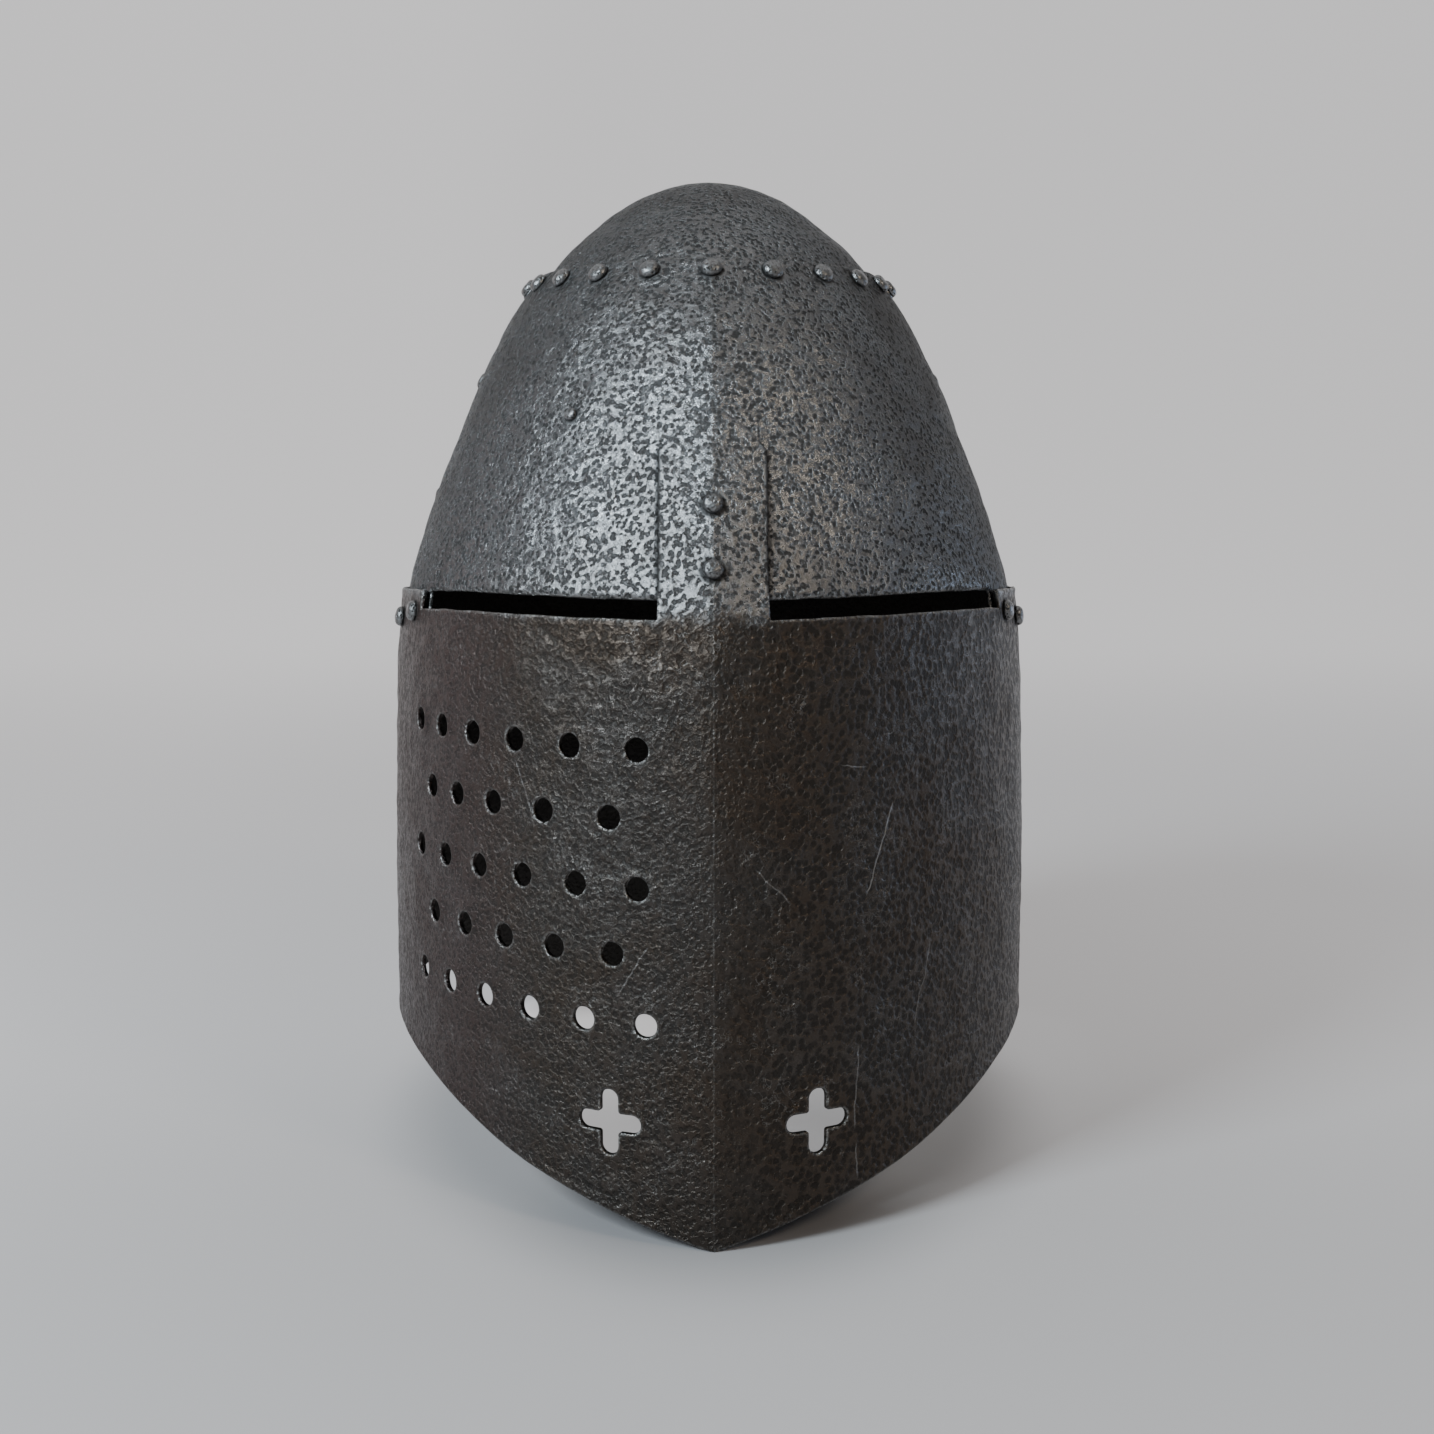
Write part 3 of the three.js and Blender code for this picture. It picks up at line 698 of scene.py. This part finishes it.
def rivet_places():
    """Name, angle, height, outer and inner layer, and whether it is the small plug."""
    out = []
    lap_arc = arc_at_angle(LAP_MIDDLE, CROWN_RIVET_Z)
    nape_arc = arc_at_angle(math.pi, CROWN_RIVET_Z)
    for i in range(24):
        step = i if i <= 12 else i - 24
        n = abs(step)
        arc = lap_arc * n / 6 if n <= 6 else lap_arc + (nape_arc - lap_arc) * (n - 6) / 6
        angle = 0.0 if n == 0 else angle_at_arc(math.copysign(arc, step), CROWN_RIVET_Z)
        out.append((f"crown_rivet_{i + 1:02d}", angle, CROWN_RIVET_Z,
                    -1 if n > 6 else 0, -1 if n < 6 else -2, False))
    for i, share in enumerate((0.191, 0.632)):
        z = SIGHT_TOP + share * NASAL_SHOULDER
        out.append((f"nasal_rivet_{i + 1}", 0.0, z, STRIP_TOP / STEP, 0, False))
    for side, word in ((-1, "right"), (1, "left")):
        for i, (arc, drop) in enumerate(((1.066, 0.5), (1.245, 0.685))):
            z = SIGHT_TOP - FLANGE * drop
            angle = angle_at_arc(side * arc * SIGHT_ARC, z)
            out.append((f"cheek_rivet_{word}_{i + 1}", angle, z, 1, 0, False))
        for i, share in enumerate((0.263, 0.657)):
            z = SIGHT_TOP + share * SKULL
            out.append((f"skull_seam_rivet_{word}_{i + 1}", side * LAP_MIDDLE, z, 0, -1, False))
        for i, share in enumerate((0.17, 0.555, 0.935)):
            z = RIM_RISE + (BACK_SKULL_LOW - RIM_RISE) * share
            out.append((f"face_seam_rivet_{word}_{i + 1}", side * LAP_MIDDLE, z, 1, 0, False))
    for i, column in enumerate((-12, -14, 16, 14, 12)):
        turn = LAP_ANGLE + (math.pi - LAP_ANGLE) * (abs(column) - 10) / 6
        angle = math.copysign(turn, column)
        out.append((f"nape_rivet_{i + 1}", angle, NAPE_TOP - 11, 0, -1, False))
    z = SIGHT_TOP + 55.6
    out.append(("plug_rivet", angle_at_arc(-49.5, z), z, 0, 0, True))
    return out


def rivet(name, angle, z, outer, inner, small, seed):
    """A hammered domed head outside and a peened tail inside, both closed."""
    base = surface(np.array(angle), np.array(z))
    out = Vector(normals(np.array(angle), np.array(z)))
    if angle == 0:
        out = Vector((0, out.y, out.z)).normalized()
    level = Vector((0, 0, 1)).cross(out).normalized()
    up = out.cross(level)
    wide = PLUG_RADIUS / RIVET_RADIUS if small else 0.9 if name.startswith("nasal") else 1.0
    tall = 0.5 if small else 1.0
    grip = (outer - inner) * STEP + WALL + 0.9
    sides = RIVET_SIDES
    verts, faces = [], []
    for profile, at, way in ((RIVET_HEAD, 0.3, 1), (RIVET_TAIL, 0.3 - grip, -1)):
        start = len(verts)
        for j, (r, h) in enumerate(profile):
            for s in range(1 if r == 0 else sides):
                a = 2 * math.pi * s / sides
                spot = Vector((r * math.cos(a) * 0.5, r * math.sin(a) * 0.5, seed * 4.7 + way))
                lump = noise.noise(spot)
                flat = noise.noise(Vector((math.cos(a) * 0.8, math.sin(a) * 0.8, seed * 1.9)))
                rr = r * wide * (1 + 0.03 * flat - 0.03)
                hh = h * tall * (1 + 0.09 * lump - 0.09) if h > 0 else h
                p = (Vector(base) + out * (outer * STEP + at + way * hh)
                     + level * (rr * math.cos(a)) + up * (rr * math.sin(a)))
                verts.append((p.x, p.y + Y_SHIFT, p.z))
        ring = start + 1
        for s in range(sides):
            t = (s + 1) % sides
            faces.append((start, ring + s, ring + t)[::way])
        for j in range(len(profile) - 2):
            lo, hi = ring + j * sides, ring + (j + 1) * sides
            for s in range(sides):
                t = (s + 1) % sides
                faces.append((lo + s, hi + s, hi + t)[::way])
                faces.append((lo + s, hi + t, lo + t)[::way])
        last = ring + (len(profile) - 2) * sides
        hub = len(verts)
        centre = np.mean(np.array(verts[last:last + sides]), axis=0)
        verts.append(tuple(centre))
        for s in range(sides):
            faces.append((last + (s + 1) % sides, last + s, hub)[::way])
    verts = np.array(verts)
    spread = np.full(len(verts), FAR)
    return build_mesh(name + "_look", verts, np.array(faces), spread, spread)


# Materials
def node(tree, kind, **values):
    made = tree.nodes.new(kind)
    for key, value in values.items():
        setattr(made, key, value)
    return made


class Graph:
    """A short way to write node materials."""

    def __init__(self, name):
        self.material = bpy.data.materials.new(name)
        self.material.use_nodes = True
        self.tree = self.material.node_tree
        self.shader = next(n for n in self.tree.nodes if n.type == "BSDF_PRINCIPLED")

    def link(self, a, b):
        self.tree.links.new(a, b)

    def put(self, socket, value):
        if hasattr(value, "is_output"):
            self.link(value, socket)
        elif value is not None:
            socket.default_value = value

    def math(self, op, a, b=None, c=None, clamp=False):
        n = node(self.tree, "ShaderNodeMath", operation=op, use_clamp=clamp)
        for socket, value in zip(n.inputs, (a, b, c)):
            self.put(socket, value)
        return n.outputs[0]

    def ramp(self, value, low, high, to_low=0.0, to_high=1.0):
        """A soft step from to_low at low to to_high at high."""
        n = node(self.tree, "ShaderNodeMapRange", interpolation_type="SMOOTHSTEP", clamp=True)
        keys = ("Value", "From Min", "From Max", "To Min", "To Max")
        for key, v in zip(keys, (value, low, high, to_low, to_high)):
            self.put(n.inputs[key], v)
        return n.outputs["Result"]

    def coords(self, scale):
        tex = node(self.tree, "ShaderNodeTexCoord")
        mapping = node(self.tree, "ShaderNodeMapping")
        self.link(tex.outputs["Object"], mapping.inputs["Vector"])
        mapping.inputs["Scale"].default_value = (scale,) * 3
        return mapping.outputs["Vector"]

    def noise(self, vector, scale, detail=3.0, rough=0.55, distort=0.0, colour=False):
        n = node(self.tree, "ShaderNodeTexNoise")
        self.put(n.inputs["Vector"], vector)
        keys = ("Scale", "Detail", "Roughness", "Distortion")
        for key, v in zip(keys, (scale, detail, rough, distort)):
            n.inputs[key].default_value = v
        return n.outputs["Color" if colour else "Fac"]

    def cells(self, vector, scale):
        """Distance from the nearest of evenly scattered points."""
        n = node(self.tree, "ShaderNodeTexVoronoi", feature="F1")
        self.put(n.inputs["Vector"], vector)
        n.inputs["Scale"].default_value = scale
        return n.outputs["Distance"]

    def attribute(self, name):
        return node(self.tree, "ShaderNodeAttribute", attribute_name=name).outputs["Fac"]

    def mix(self, share, a, b):
        n = node(self.tree, "ShaderNodeMix", data_type="RGBA", blend_type="MIX")
        n.clamp_factor = True
        self.put(n.inputs[0], share)
        self.put(n.inputs[6], a)
        self.put(n.inputs[7], b)
        return n.outputs[2]

    def warp(self, vector, scale, amount):
        """Moves coordinates about by coloured noise."""
        shift = node(self.tree, "ShaderNodeVectorMath", operation="SUBTRACT")
        self.link(self.noise(vector, scale, 2.0, 0.5, colour=True), shift.inputs[0])
        shift.inputs[1].default_value = (0.5, 0.5, 0.5)
        scaled = node(self.tree, "ShaderNodeVectorMath", operation="SCALE")
        self.link(shift.outputs[0], scaled.inputs[0])
        scaled.inputs["Scale"].default_value = amount
        add = node(self.tree, "ShaderNodeVectorMath", operation="ADD")
        self.link(vector, add.inputs[0])
        self.link(scaled.outputs[0], add.inputs[1])
        return add.outputs[0]

    def bump(self, height, distance, strength=1.0, under=None):
        n = node(self.tree, "ShaderNodeBump")
        n.inputs["Distance"].default_value = distance
        n.inputs["Strength"].default_value = strength
        self.link(height, n.inputs["Height"])
        if under is not None:
            self.link(under, n.inputs["Normal"])
        return n.outputs["Normal"]


def grey(v, tint=(1, 1, 1)):
    return (v * tint[0], v * tint[1], v * tint[2], 1)


# Coordinates inside the steel's materials are in millimetres
MM = 1000.0
# Thin scratches on the face plate: x and z of the two ends, and how strong
SCRATCHES = [(56.3, 136.9, 47.5, 107.3, 0.8), (45.4, 61.5, 44.1, 33.1, 0.5),
             (44.7, 29.7, 45.6, 16.4, 0.5), (38.2, 149.8, 48.1, 147.9, 0.5),
             (56.9, 158.5, 52.2, 157.0, 0.6), (-62.0, 150.0, -55.0, 128.0, 0.4),
             (-20.0, 96.0, -30.0, 78.0, 0.4), (12.0, 120.0, 24.0, 108.0, 0.35),
             (70.0, 90.0, 64.0, 62.0, 0.35)]


def scratches(g, x, y, z, wander):
    """Where the scratches run, on the front of the face plate only."""
    total = 0.0
    for x0, z0, x1, z1, strength in SCRATCHES:
        length = math.hypot(x1 - x0, z1 - z0)
        half = length / 2
        ux, uz = (x1 - x0) / length, (z1 - z0) / length
        along = g.math("MULTIPLY_ADD", z, uz, -(x0 * ux + z0 * uz) - half)
        along = g.math("ABSOLUTE", g.math("MULTIPLY_ADD", x, ux, along))
        across = g.math("MULTIPLY_ADD", z, ux, x0 * uz - z0 * ux)
        across = g.math("ADD", g.math("MULTIPLY_ADD", x, -uz, across), wander)
        line = g.math("MULTIPLY", g.ramp(g.math("ABSOLUTE", across), 0.30, 0.08),
                      g.ramp(along, half, half - 3, 0.0, strength))
        total = g.math("MAXIMUM", total, line)
    return g.math("MULTIPLY", total, g.ramp(y, -40.0, -50.0))


def blend(g, share, a, b):
    """a where share is 0 and b where it is 1, for plain values."""
    return g.math("MULTIPLY_ADD", share, g.math("SUBTRACT", b, a), a)


def pit_net(g, mm, scale, jitter, high, low):
    """Pits about 1/scale apart, 1 in the pits: jitter makes their shapes and spacing ragged."""
    pit = g.cells(g.warp(mm, 1.5 * scale, 0.6 / scale * (0.4 + 0.6 * jitter)), scale)
    lump = g.math("SUBTRACT", g.noise(mm, 1.3 * scale, 3.0, 0.6), 0.5)
    return g.ramp(g.math("MULTIPLY_ADD", lump, 1.4 * jitter, pit), high, low)


def pitted_steel(name, skin, patina, patina_amount, grazing, low_skin=None):
    """Old forged steel: a dense net of small pits, worn ridges, patina and a dark inside.
    With low_skin the tone changes to that one below the sights, where the pits are softer
    and, on the wearer's left, wider."""
    g = Graph(name)
    mm = g.coords(MM)
    holes = pit_net(g, mm, 0.55, 1.0, 0.56, 0.30)
    ragged = g.noise(mm, 1.0, 5.0, 0.68)
    if low_skin is not None:
        split = node(g.tree, "ShaderNodeSeparateXYZ")
        g.link(mm, split.inputs[0])
        x, y, z = split.outputs
        upper = g.ramp(g.math("MULTIPLY_ADD", g.noise(mm, 0.2, 3.0, 0.6), 10.0, z), 197.0, 203.0)
        side = g.ramp(g.math("MULTIPLY_ADD", g.noise(mm, 0.08, 3.0, 0.6), 30.0, x), 5.0, 40.0)
        dense = g.math("MULTIPLY", pit_net(g, mm, 0.56, 0.7, 0.66, 0.30), 0.75)
        wide = g.math("MULTIPLY", pit_net(g, mm, 0.45, 0.3, 0.72, 0.34), 0.85)
        holes = blend(g, upper, blend(g, side, dense, wide), holes)
        skin = g.mix(upper, low_skin, skin)
        patina_amount = g.math("MULTIPLY_ADD", upper, UPPER_PATINA - patina_amount, patina_amount)
    holes = g.math("MULTIPLY", holes, g.ramp(g.noise(mm, 0.22, 3.0, 0.7), 0.34, 0.5, 0.7, 1.0))
    swell = g.noise(mm, 0.15, 4.0, 0.6, 0.4)
    fine = g.noise(mm, 5.0, 2.0, 0.6)

    # Colour: skin, patina in broad patches, pit floors, dirt and painted shade in the seams and round
    # the rivet heads, and rubbed edges
    worn = g.mix(g.ramp(ragged, 0.35, 0.68, 0.0, 0.45), skin, grey(0.04))
    stain = g.ramp(g.noise(mm, 0.02, 4.0, 0.62, 0.6), 0.36, 0.66)
    stain = g.math("MULTIPLY", stain, patina_amount)
    colour = g.mix(stain, worn, patina)
    mottle = g.math("MULTIPLY", g.ramp(g.noise(mm, 0.3, 5.0, 0.7), 0.5, 0.75), 0.35)
    colour = g.mix(mottle, colour, patina)
    if low_skin is not None:
        blush = g.math("MULTIPLY", g.ramp(x, -52.0, -88.0, 0.0, 0.7), g.math("SUBTRACT", 1.0, upper))
        colour = g.mix(blush, colour, grey(0.07, (1.2, 0.9, 0.88)))
    colour = g.mix(g.math("MULTIPLY", holes, 0.8), colour, grey(0.008, (1, 0.95, 0.9)))
    if low_skin is not None:
        wander = g.math("MULTIPLY_ADD", g.noise(mm, 0.12, 3.0, 0.6), 3.0, -1.5)
        crack = g.math("ABSOLUTE", g.math("SUBTRACT", g.noise(mm, 0.08, 4.0, 0.7), 0.5))
        where = g.ramp(g.noise(mm, 0.05, 2.0, 0.5), 0.5, 0.6, 0, 0.25)
        crack = g.math("MULTIPLY", g.ramp(crack, 0.010, 0.003), where)
        cut = g.math("MAXIMUM", scratches(g, x, y, z, wander), crack)
        colour = g.mix(cut, colour, grey(0.30, (1, 0.97, 0.94)))
    edge = g.attribute("edge_mm")
    rub = g.math("MULTIPLY", g.ramp(edge, 1.0, 0.1), g.ramp(ragged, 0.38, 0.62, 0.0, 0.6))
    colour = g.mix(rub, colour, grey(0.36, (1.0, 0.99, 0.96)))
    # Dirt and painted shade: dark lines along the seams and dark rings round the rivet heads, where
    # the creases would be in shade
    dirt_and_shade = g.ramp(g.math("MULTIPLY_ADD", ragged, 1.2, g.attribute("seam_mm")), 1.9, 0.8)
    colour = g.mix(g.math("MULTIPLY", dirt_and_shade, 0.85), colour, grey(0.010, (1, 0.94, 0.88)))
    inner = g.ramp(edge, 24.0, 27.0)
    colour = g.mix(inner, colour, grey(0.03, (1, 0.92, 0.85)))
    g.link(colour, g.shader.inputs["Base Color"])

    gloss = g.math("MULTIPLY_ADD", ragged, 0.2, 0.17)
    gloss = g.math("MULTIPLY_ADD", holes, 0.2, gloss)
    gloss = g.math("MULTIPLY_ADD", stain, 0.1, gloss)
    gloss = g.math("MULTIPLY_ADD", dirt_and_shade, 0.3, gloss)
    gloss = g.math("MULTIPLY_ADD", inner, 0.4, gloss, clamp=True)
    g.link(gloss, g.shader.inputs["Roughness"])
    metal = g.math("MULTIPLY_ADD", holes, -0.3, 1.0)
    dull = g.math("MULTIPLY_ADD", g.math("MAXIMUM", inner, dirt_and_shade), -0.8, 1.0)
    metal = g.math("MULTIPLY", metal, dull)
    g.link(metal, g.shader.inputs["Metallic"])
    g.shader.inputs["Specular IOR Level"].default_value = 0.4
    g.shader.inputs["Specular Tint"].default_value = grazing

    relief = g.math("MULTIPLY_ADD", ragged, 0.4, g.math("MULTIPLY", holes, -0.6))
    relief = g.math("MULTIPLY_ADD", fine, 0.06, relief)
    first = g.bump(swell, 0.0018, 0.6)
    g.link(g.bump(relief, 0.00065, 1.0, first), g.shader.inputs["Normal"])
    return g.material


def rivet_steel(name):
    """Darker, smoother steel for the rivets."""
    g = Graph(name)
    mm = g.coords(MM)
    ragged = g.noise(mm, 1.1, 5.0, 0.68)
    holes = g.ramp(g.cells(g.warp(mm, 0.8, 0.7), 0.8), 0.40, 0.10)
    bright, dark = grey(0.24, (0.98, 1, 1.02)), grey(0.09, (1, 0.97, 0.94))
    colour = g.mix(g.ramp(ragged, 0.35, 0.7), bright, dark)
    colour = g.mix(g.math("MULTIPLY", holes, 0.8), colour, grey(0.01, (1, 0.9, 0.8)))
    g.link(colour, g.shader.inputs["Base Color"])
    g.link(g.math("MULTIPLY_ADD", ragged, 0.3, 0.18), g.shader.inputs["Roughness"])
    g.shader.inputs["Metallic"].default_value = 0.95
    relief = g.math("MULTIPLY_ADD", ragged, 0.5, g.math("MULTIPLY", holes, -0.7))
    g.link(g.bump(relief, 0.0004, 1.0), g.shader.inputs["Normal"])
    return g.material


PATINA = grey(0.05, (1.3, 0.93, 0.66))
STEEL = grey(0.30, (0.97, 1.0, 1.03))
BROWN_STEEL = grey(0.077, (1.08, 0.97, 0.89))
UPPER_PATINA, LOWER_PATINA = 0.3, 0.6
upper_steel = pitted_steel("upper_steel", STEEL, PATINA, UPPER_PATINA, grey(0.3))
lower_steel = pitted_steel("lower_steel", STEEL, PATINA, LOWER_PATINA, grey(0.8), low_skin=BROWN_STEEL)
rivet_metal = rivet_steel("rivet_steel")


def dress(obj, material, slot, *nodes):
    """Gives a piece its steel and sets it on the frame in place of its solids."""
    obj.data.materials.append(material)
    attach(obj, "root")
    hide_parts(*nodes)


crease, crease_sides = keel_lines(-1, SIGHT_TOP + NASAL_APEX - 0.6)
dress(plate("face_plate_look", face_loops(), from_pattern, face_layer, 1.25, 21,
            creases=crease, keel_rings=crease_sides, under=face_under_all, seam=strip_edge,
            calm=strip_calm),
      lower_steel, "lower_plates", "face_plate")
crease, crease_sides = keel_lines(SIGHT_TOP + 0.7, SEAM - 0.7)
dress(plate("brow_plate_look", brow_loops(), from_pattern, layer_of(0), 1.25, 33,
            creases=crease, keel_rings=crease_sides + beside_strip(), seam=strip_seam, groove=0.5,
            edge_roll=sight_roll),
      upper_steel, "upper_plates", "brow_plate")
# Heights out of reach, for laps that have no seam at one end
BELOW, ABOVE = -99, SEAM + 99
skull_band = band_loops(lambda a: BACK_SKULL_LOW + 0 * a, lambda a: SEAM + 0 * a)
dress(plate("back_skull_plate_look", skull_band, from_pattern, layer_of(-1), 1.5, 47,
            seam=lap_seam(NAPE_TOP, ABOVE, 100)),
      upper_steel, "upper_plates", "back_skull_plate")
nape_band = band_loops(rim_height, lambda a: NAPE_TOP + 0 * a)
dress(plate("nape_plate_look", nape_band, from_pattern, layer_of(0), 1.6, 58,
            seam=lap_seam(BELOW, ABOVE, 115)),
      lower_steel, "lower_plates", "nape_plate")
_turn = np.linspace(0, 2 * math.pi, 420, endpoint=False)
cap_loop = _cap_run[-1] * np.stack([np.sin(_turn), -np.cos(_turn)], -1)
dress(plate("crown_cap_look", [cap_loop], cap_place, cap_layer, 1.1, 63, dents=0.8,
            seam=lambda angle, z: np.abs(z - SEAM)),
      upper_steel, "upper_plates", "crown_cap")
for number, place in enumerate(rivet_places()):
    dress(rivet(*place, seed=number + 1), rivet_metal, "rivets", place[0])


# Floor and backdrop: one pale sweep that glows, its glow shaped into painted shadow round the helm and
# a painted pool of light under it
def sweep():
    front, back, radius, height, half_width = -4.0, 1.6, 1.2, 5.0, 6.0
    profile = [(front, 0.0), (back, 0.0)]
    profile += [(back + radius * math.sin(a), radius - radius * math.cos(a))
                for a in np.linspace(0.05, QUARTER, 24)]
    profile += [(back + radius, height)]
    verts = [(x, y, z) for y, z in profile for x in (-half_width, half_width)]
    faces = [(2 * i, 2 * i + 1, 2 * i + 3, 2 * i + 2) for i in range(len(profile) - 1)]
    mesh = bpy.data.meshes.new("sweep")
    mesh.from_pydata(verts, [], faces)
    mesh.polygons.foreach_set("use_smooth", [True] * len(faces))
    obj = bpy.data.objects.new("sweep", mesh)
    bpy.context.scene.collection.objects.link(obj)
    g = Graph("pale_floor_painted_light")
    g.shader.inputs["Base Color"].default_value = (0.31, 0.302, 0.305, 1)
    g.shader.inputs["Roughness"].default_value = 0.9
    g.shader.inputs["Specular IOR Level"].default_value = 0.1
    g.shader.inputs["Emission Color"].default_value = (1.0, 0.985, 0.99, 1)
    at = node(g.tree, "ShaderNodeSeparateXYZ")
    g.link(g.coords(1.0), at.inputs[0])
    x, y = at.outputs[:2]

    def powers(a, b, power):
        return g.math("ADD", g.math("POWER", a, power), g.math("POWER", b, power))

    # Outside the helm: painted shadow, with less glow in a soft ring where it stands and at its point,
    # and more glow towards -x, +y and up the backdrop
    around = g.math("SQRT", powers(g.math("MULTIPLY", x, 1.25), g.math("MULTIPLY", y, 0.9), 2.0))
    tip = g.math("SQRT", powers(x, g.math("ADD", y, 0.13), 2.0))
    glow_with_painted_shadow = g.ramp(around, 0.118, 0.17, 0.06, 0.22)
    for more in (g.ramp(around, 0.19, 0.5, 0.0, 0.04), g.ramp(x, -0.15, -0.5, 0.0, 0.05),
                 g.ramp(tip, 0.085, 0.03, 0.0, -0.07), g.ramp(y, -0.16, 0.06, 0.0, 0.08),
                 g.ramp(y, 0.25, 1.9, 0.0, 0.29)):
        glow_with_painted_shadow = g.math("ADD", glow_with_painted_shadow, more)
    # Inside it: a painted pool of light, a glowing patch under the helm where it would be in shade,
    # which shows through the crosses and the lowest holes and is brighter towards -x
    half = g.ramp(y, 0.02, 0.1, 0.083, 0.105)
    middle = g.math("DIVIDE", g.math("SUBTRACT", y, 0.03), 0.12)
    painted_light_patch = g.ramp(powers(g.math("DIVIDE", x, half), middle, 4.0), 1.0, 0.5)
    for share in (g.ramp(y, -0.04, 0.06, 0.39, 0.62), g.ramp(y, 0.085, 0.125, 1.0, 0.5),
                  g.ramp(x, -0.05, 0.05, 1.16, 0.76)):
        painted_light_patch = g.math("MULTIPLY", painted_light_patch, share)
    g.link(g.math("MAXIMUM", glow_with_painted_shadow, painted_light_patch), g.shader.inputs["Emission Strength"])
    mesh.materials.append(g.material)


sweep()


def area_light(name, towards, distance, size, power, colour):
    """A soft box that faces the middle of the helm."""
    light = bpy.data.lights.new(name, "AREA")
    light.shape = "RECTANGLE"
    light.size, light.size_y = size
    light.energy = power
    light.color = colour
    obj = bpy.data.objects.new(name, light)
    aim = Vector((0, 0, 0.17))
    obj.location = aim + Vector(towards).normalized() * distance
    obj.rotation_euler = (aim - obj.location).to_track_quat("-Z", "Y").to_euler()
    bpy.context.scene.collection.objects.link(obj)


area_light("key", (-0.72, -0.68, 0.62), 1.5, (0.42, 0.42), 32, (0.80, 0.92, 1.0))
area_light("fill", (0.70, -0.76, 0.72), 1.7, (0.3, 0.3), 6, (1.0, 0.86, 0.70))
area_light("warm_rim", (-0.90, 0.40, 0.15), 1.5, (0.5, 0.6), 0.6, (1.0, 0.60, 0.56))
area_light("cool_rim", (0.90, 0.32, 0.04), 1.5, (0.6, 0.4), 2.8, (0.55, 0.72, 1.0))
area_light("overhead", (0.0, 0.15, 1.0), 2.1, (2.4, 1.6), 10, (1, 0.985, 0.98))
world = bpy.data.worlds.new("studio")
bpy.context.scene.world = world
world.use_nodes = True
background = world.node_tree.nodes["Background"]
background.inputs["Color"].default_value = (1.0, 0.98, 0.98, 1)
background.inputs["Strength"].default_value = 0.09

# Camera: where the photograph was taken from
FOCAL_PIXELS, PICTURE_PIXELS, SENSOR = 1835, 1434, 36
DOWNWARD = math.radians(8)
turn = Matrix.Rotation(math.radians(-0.78), 4, "Z")
camera_data = bpy.data.cameras.new("camera")
camera_data.sensor_width = SENSOR
camera_data.sensor_fit = "HORIZONTAL"
camera_data.lens = SENSOR * FOCAL_PIXELS / PICTURE_PIXELS
camera = bpy.data.objects.new("camera", camera_data)
spot = turn @ Vector((0.00306, -0.6936, 0.24174))
look = turn @ Vector((0, math.cos(DOWNWARD), -math.sin(DOWNWARD)))
camera.location = spot + Vector((0, Y_SHIFT / 1000, 0))
camera.rotation_euler = look.to_track_quat("-Z", "Y").to_euler()
bpy.context.scene.collection.objects.link(camera)
bpy.context.scene.camera = camera
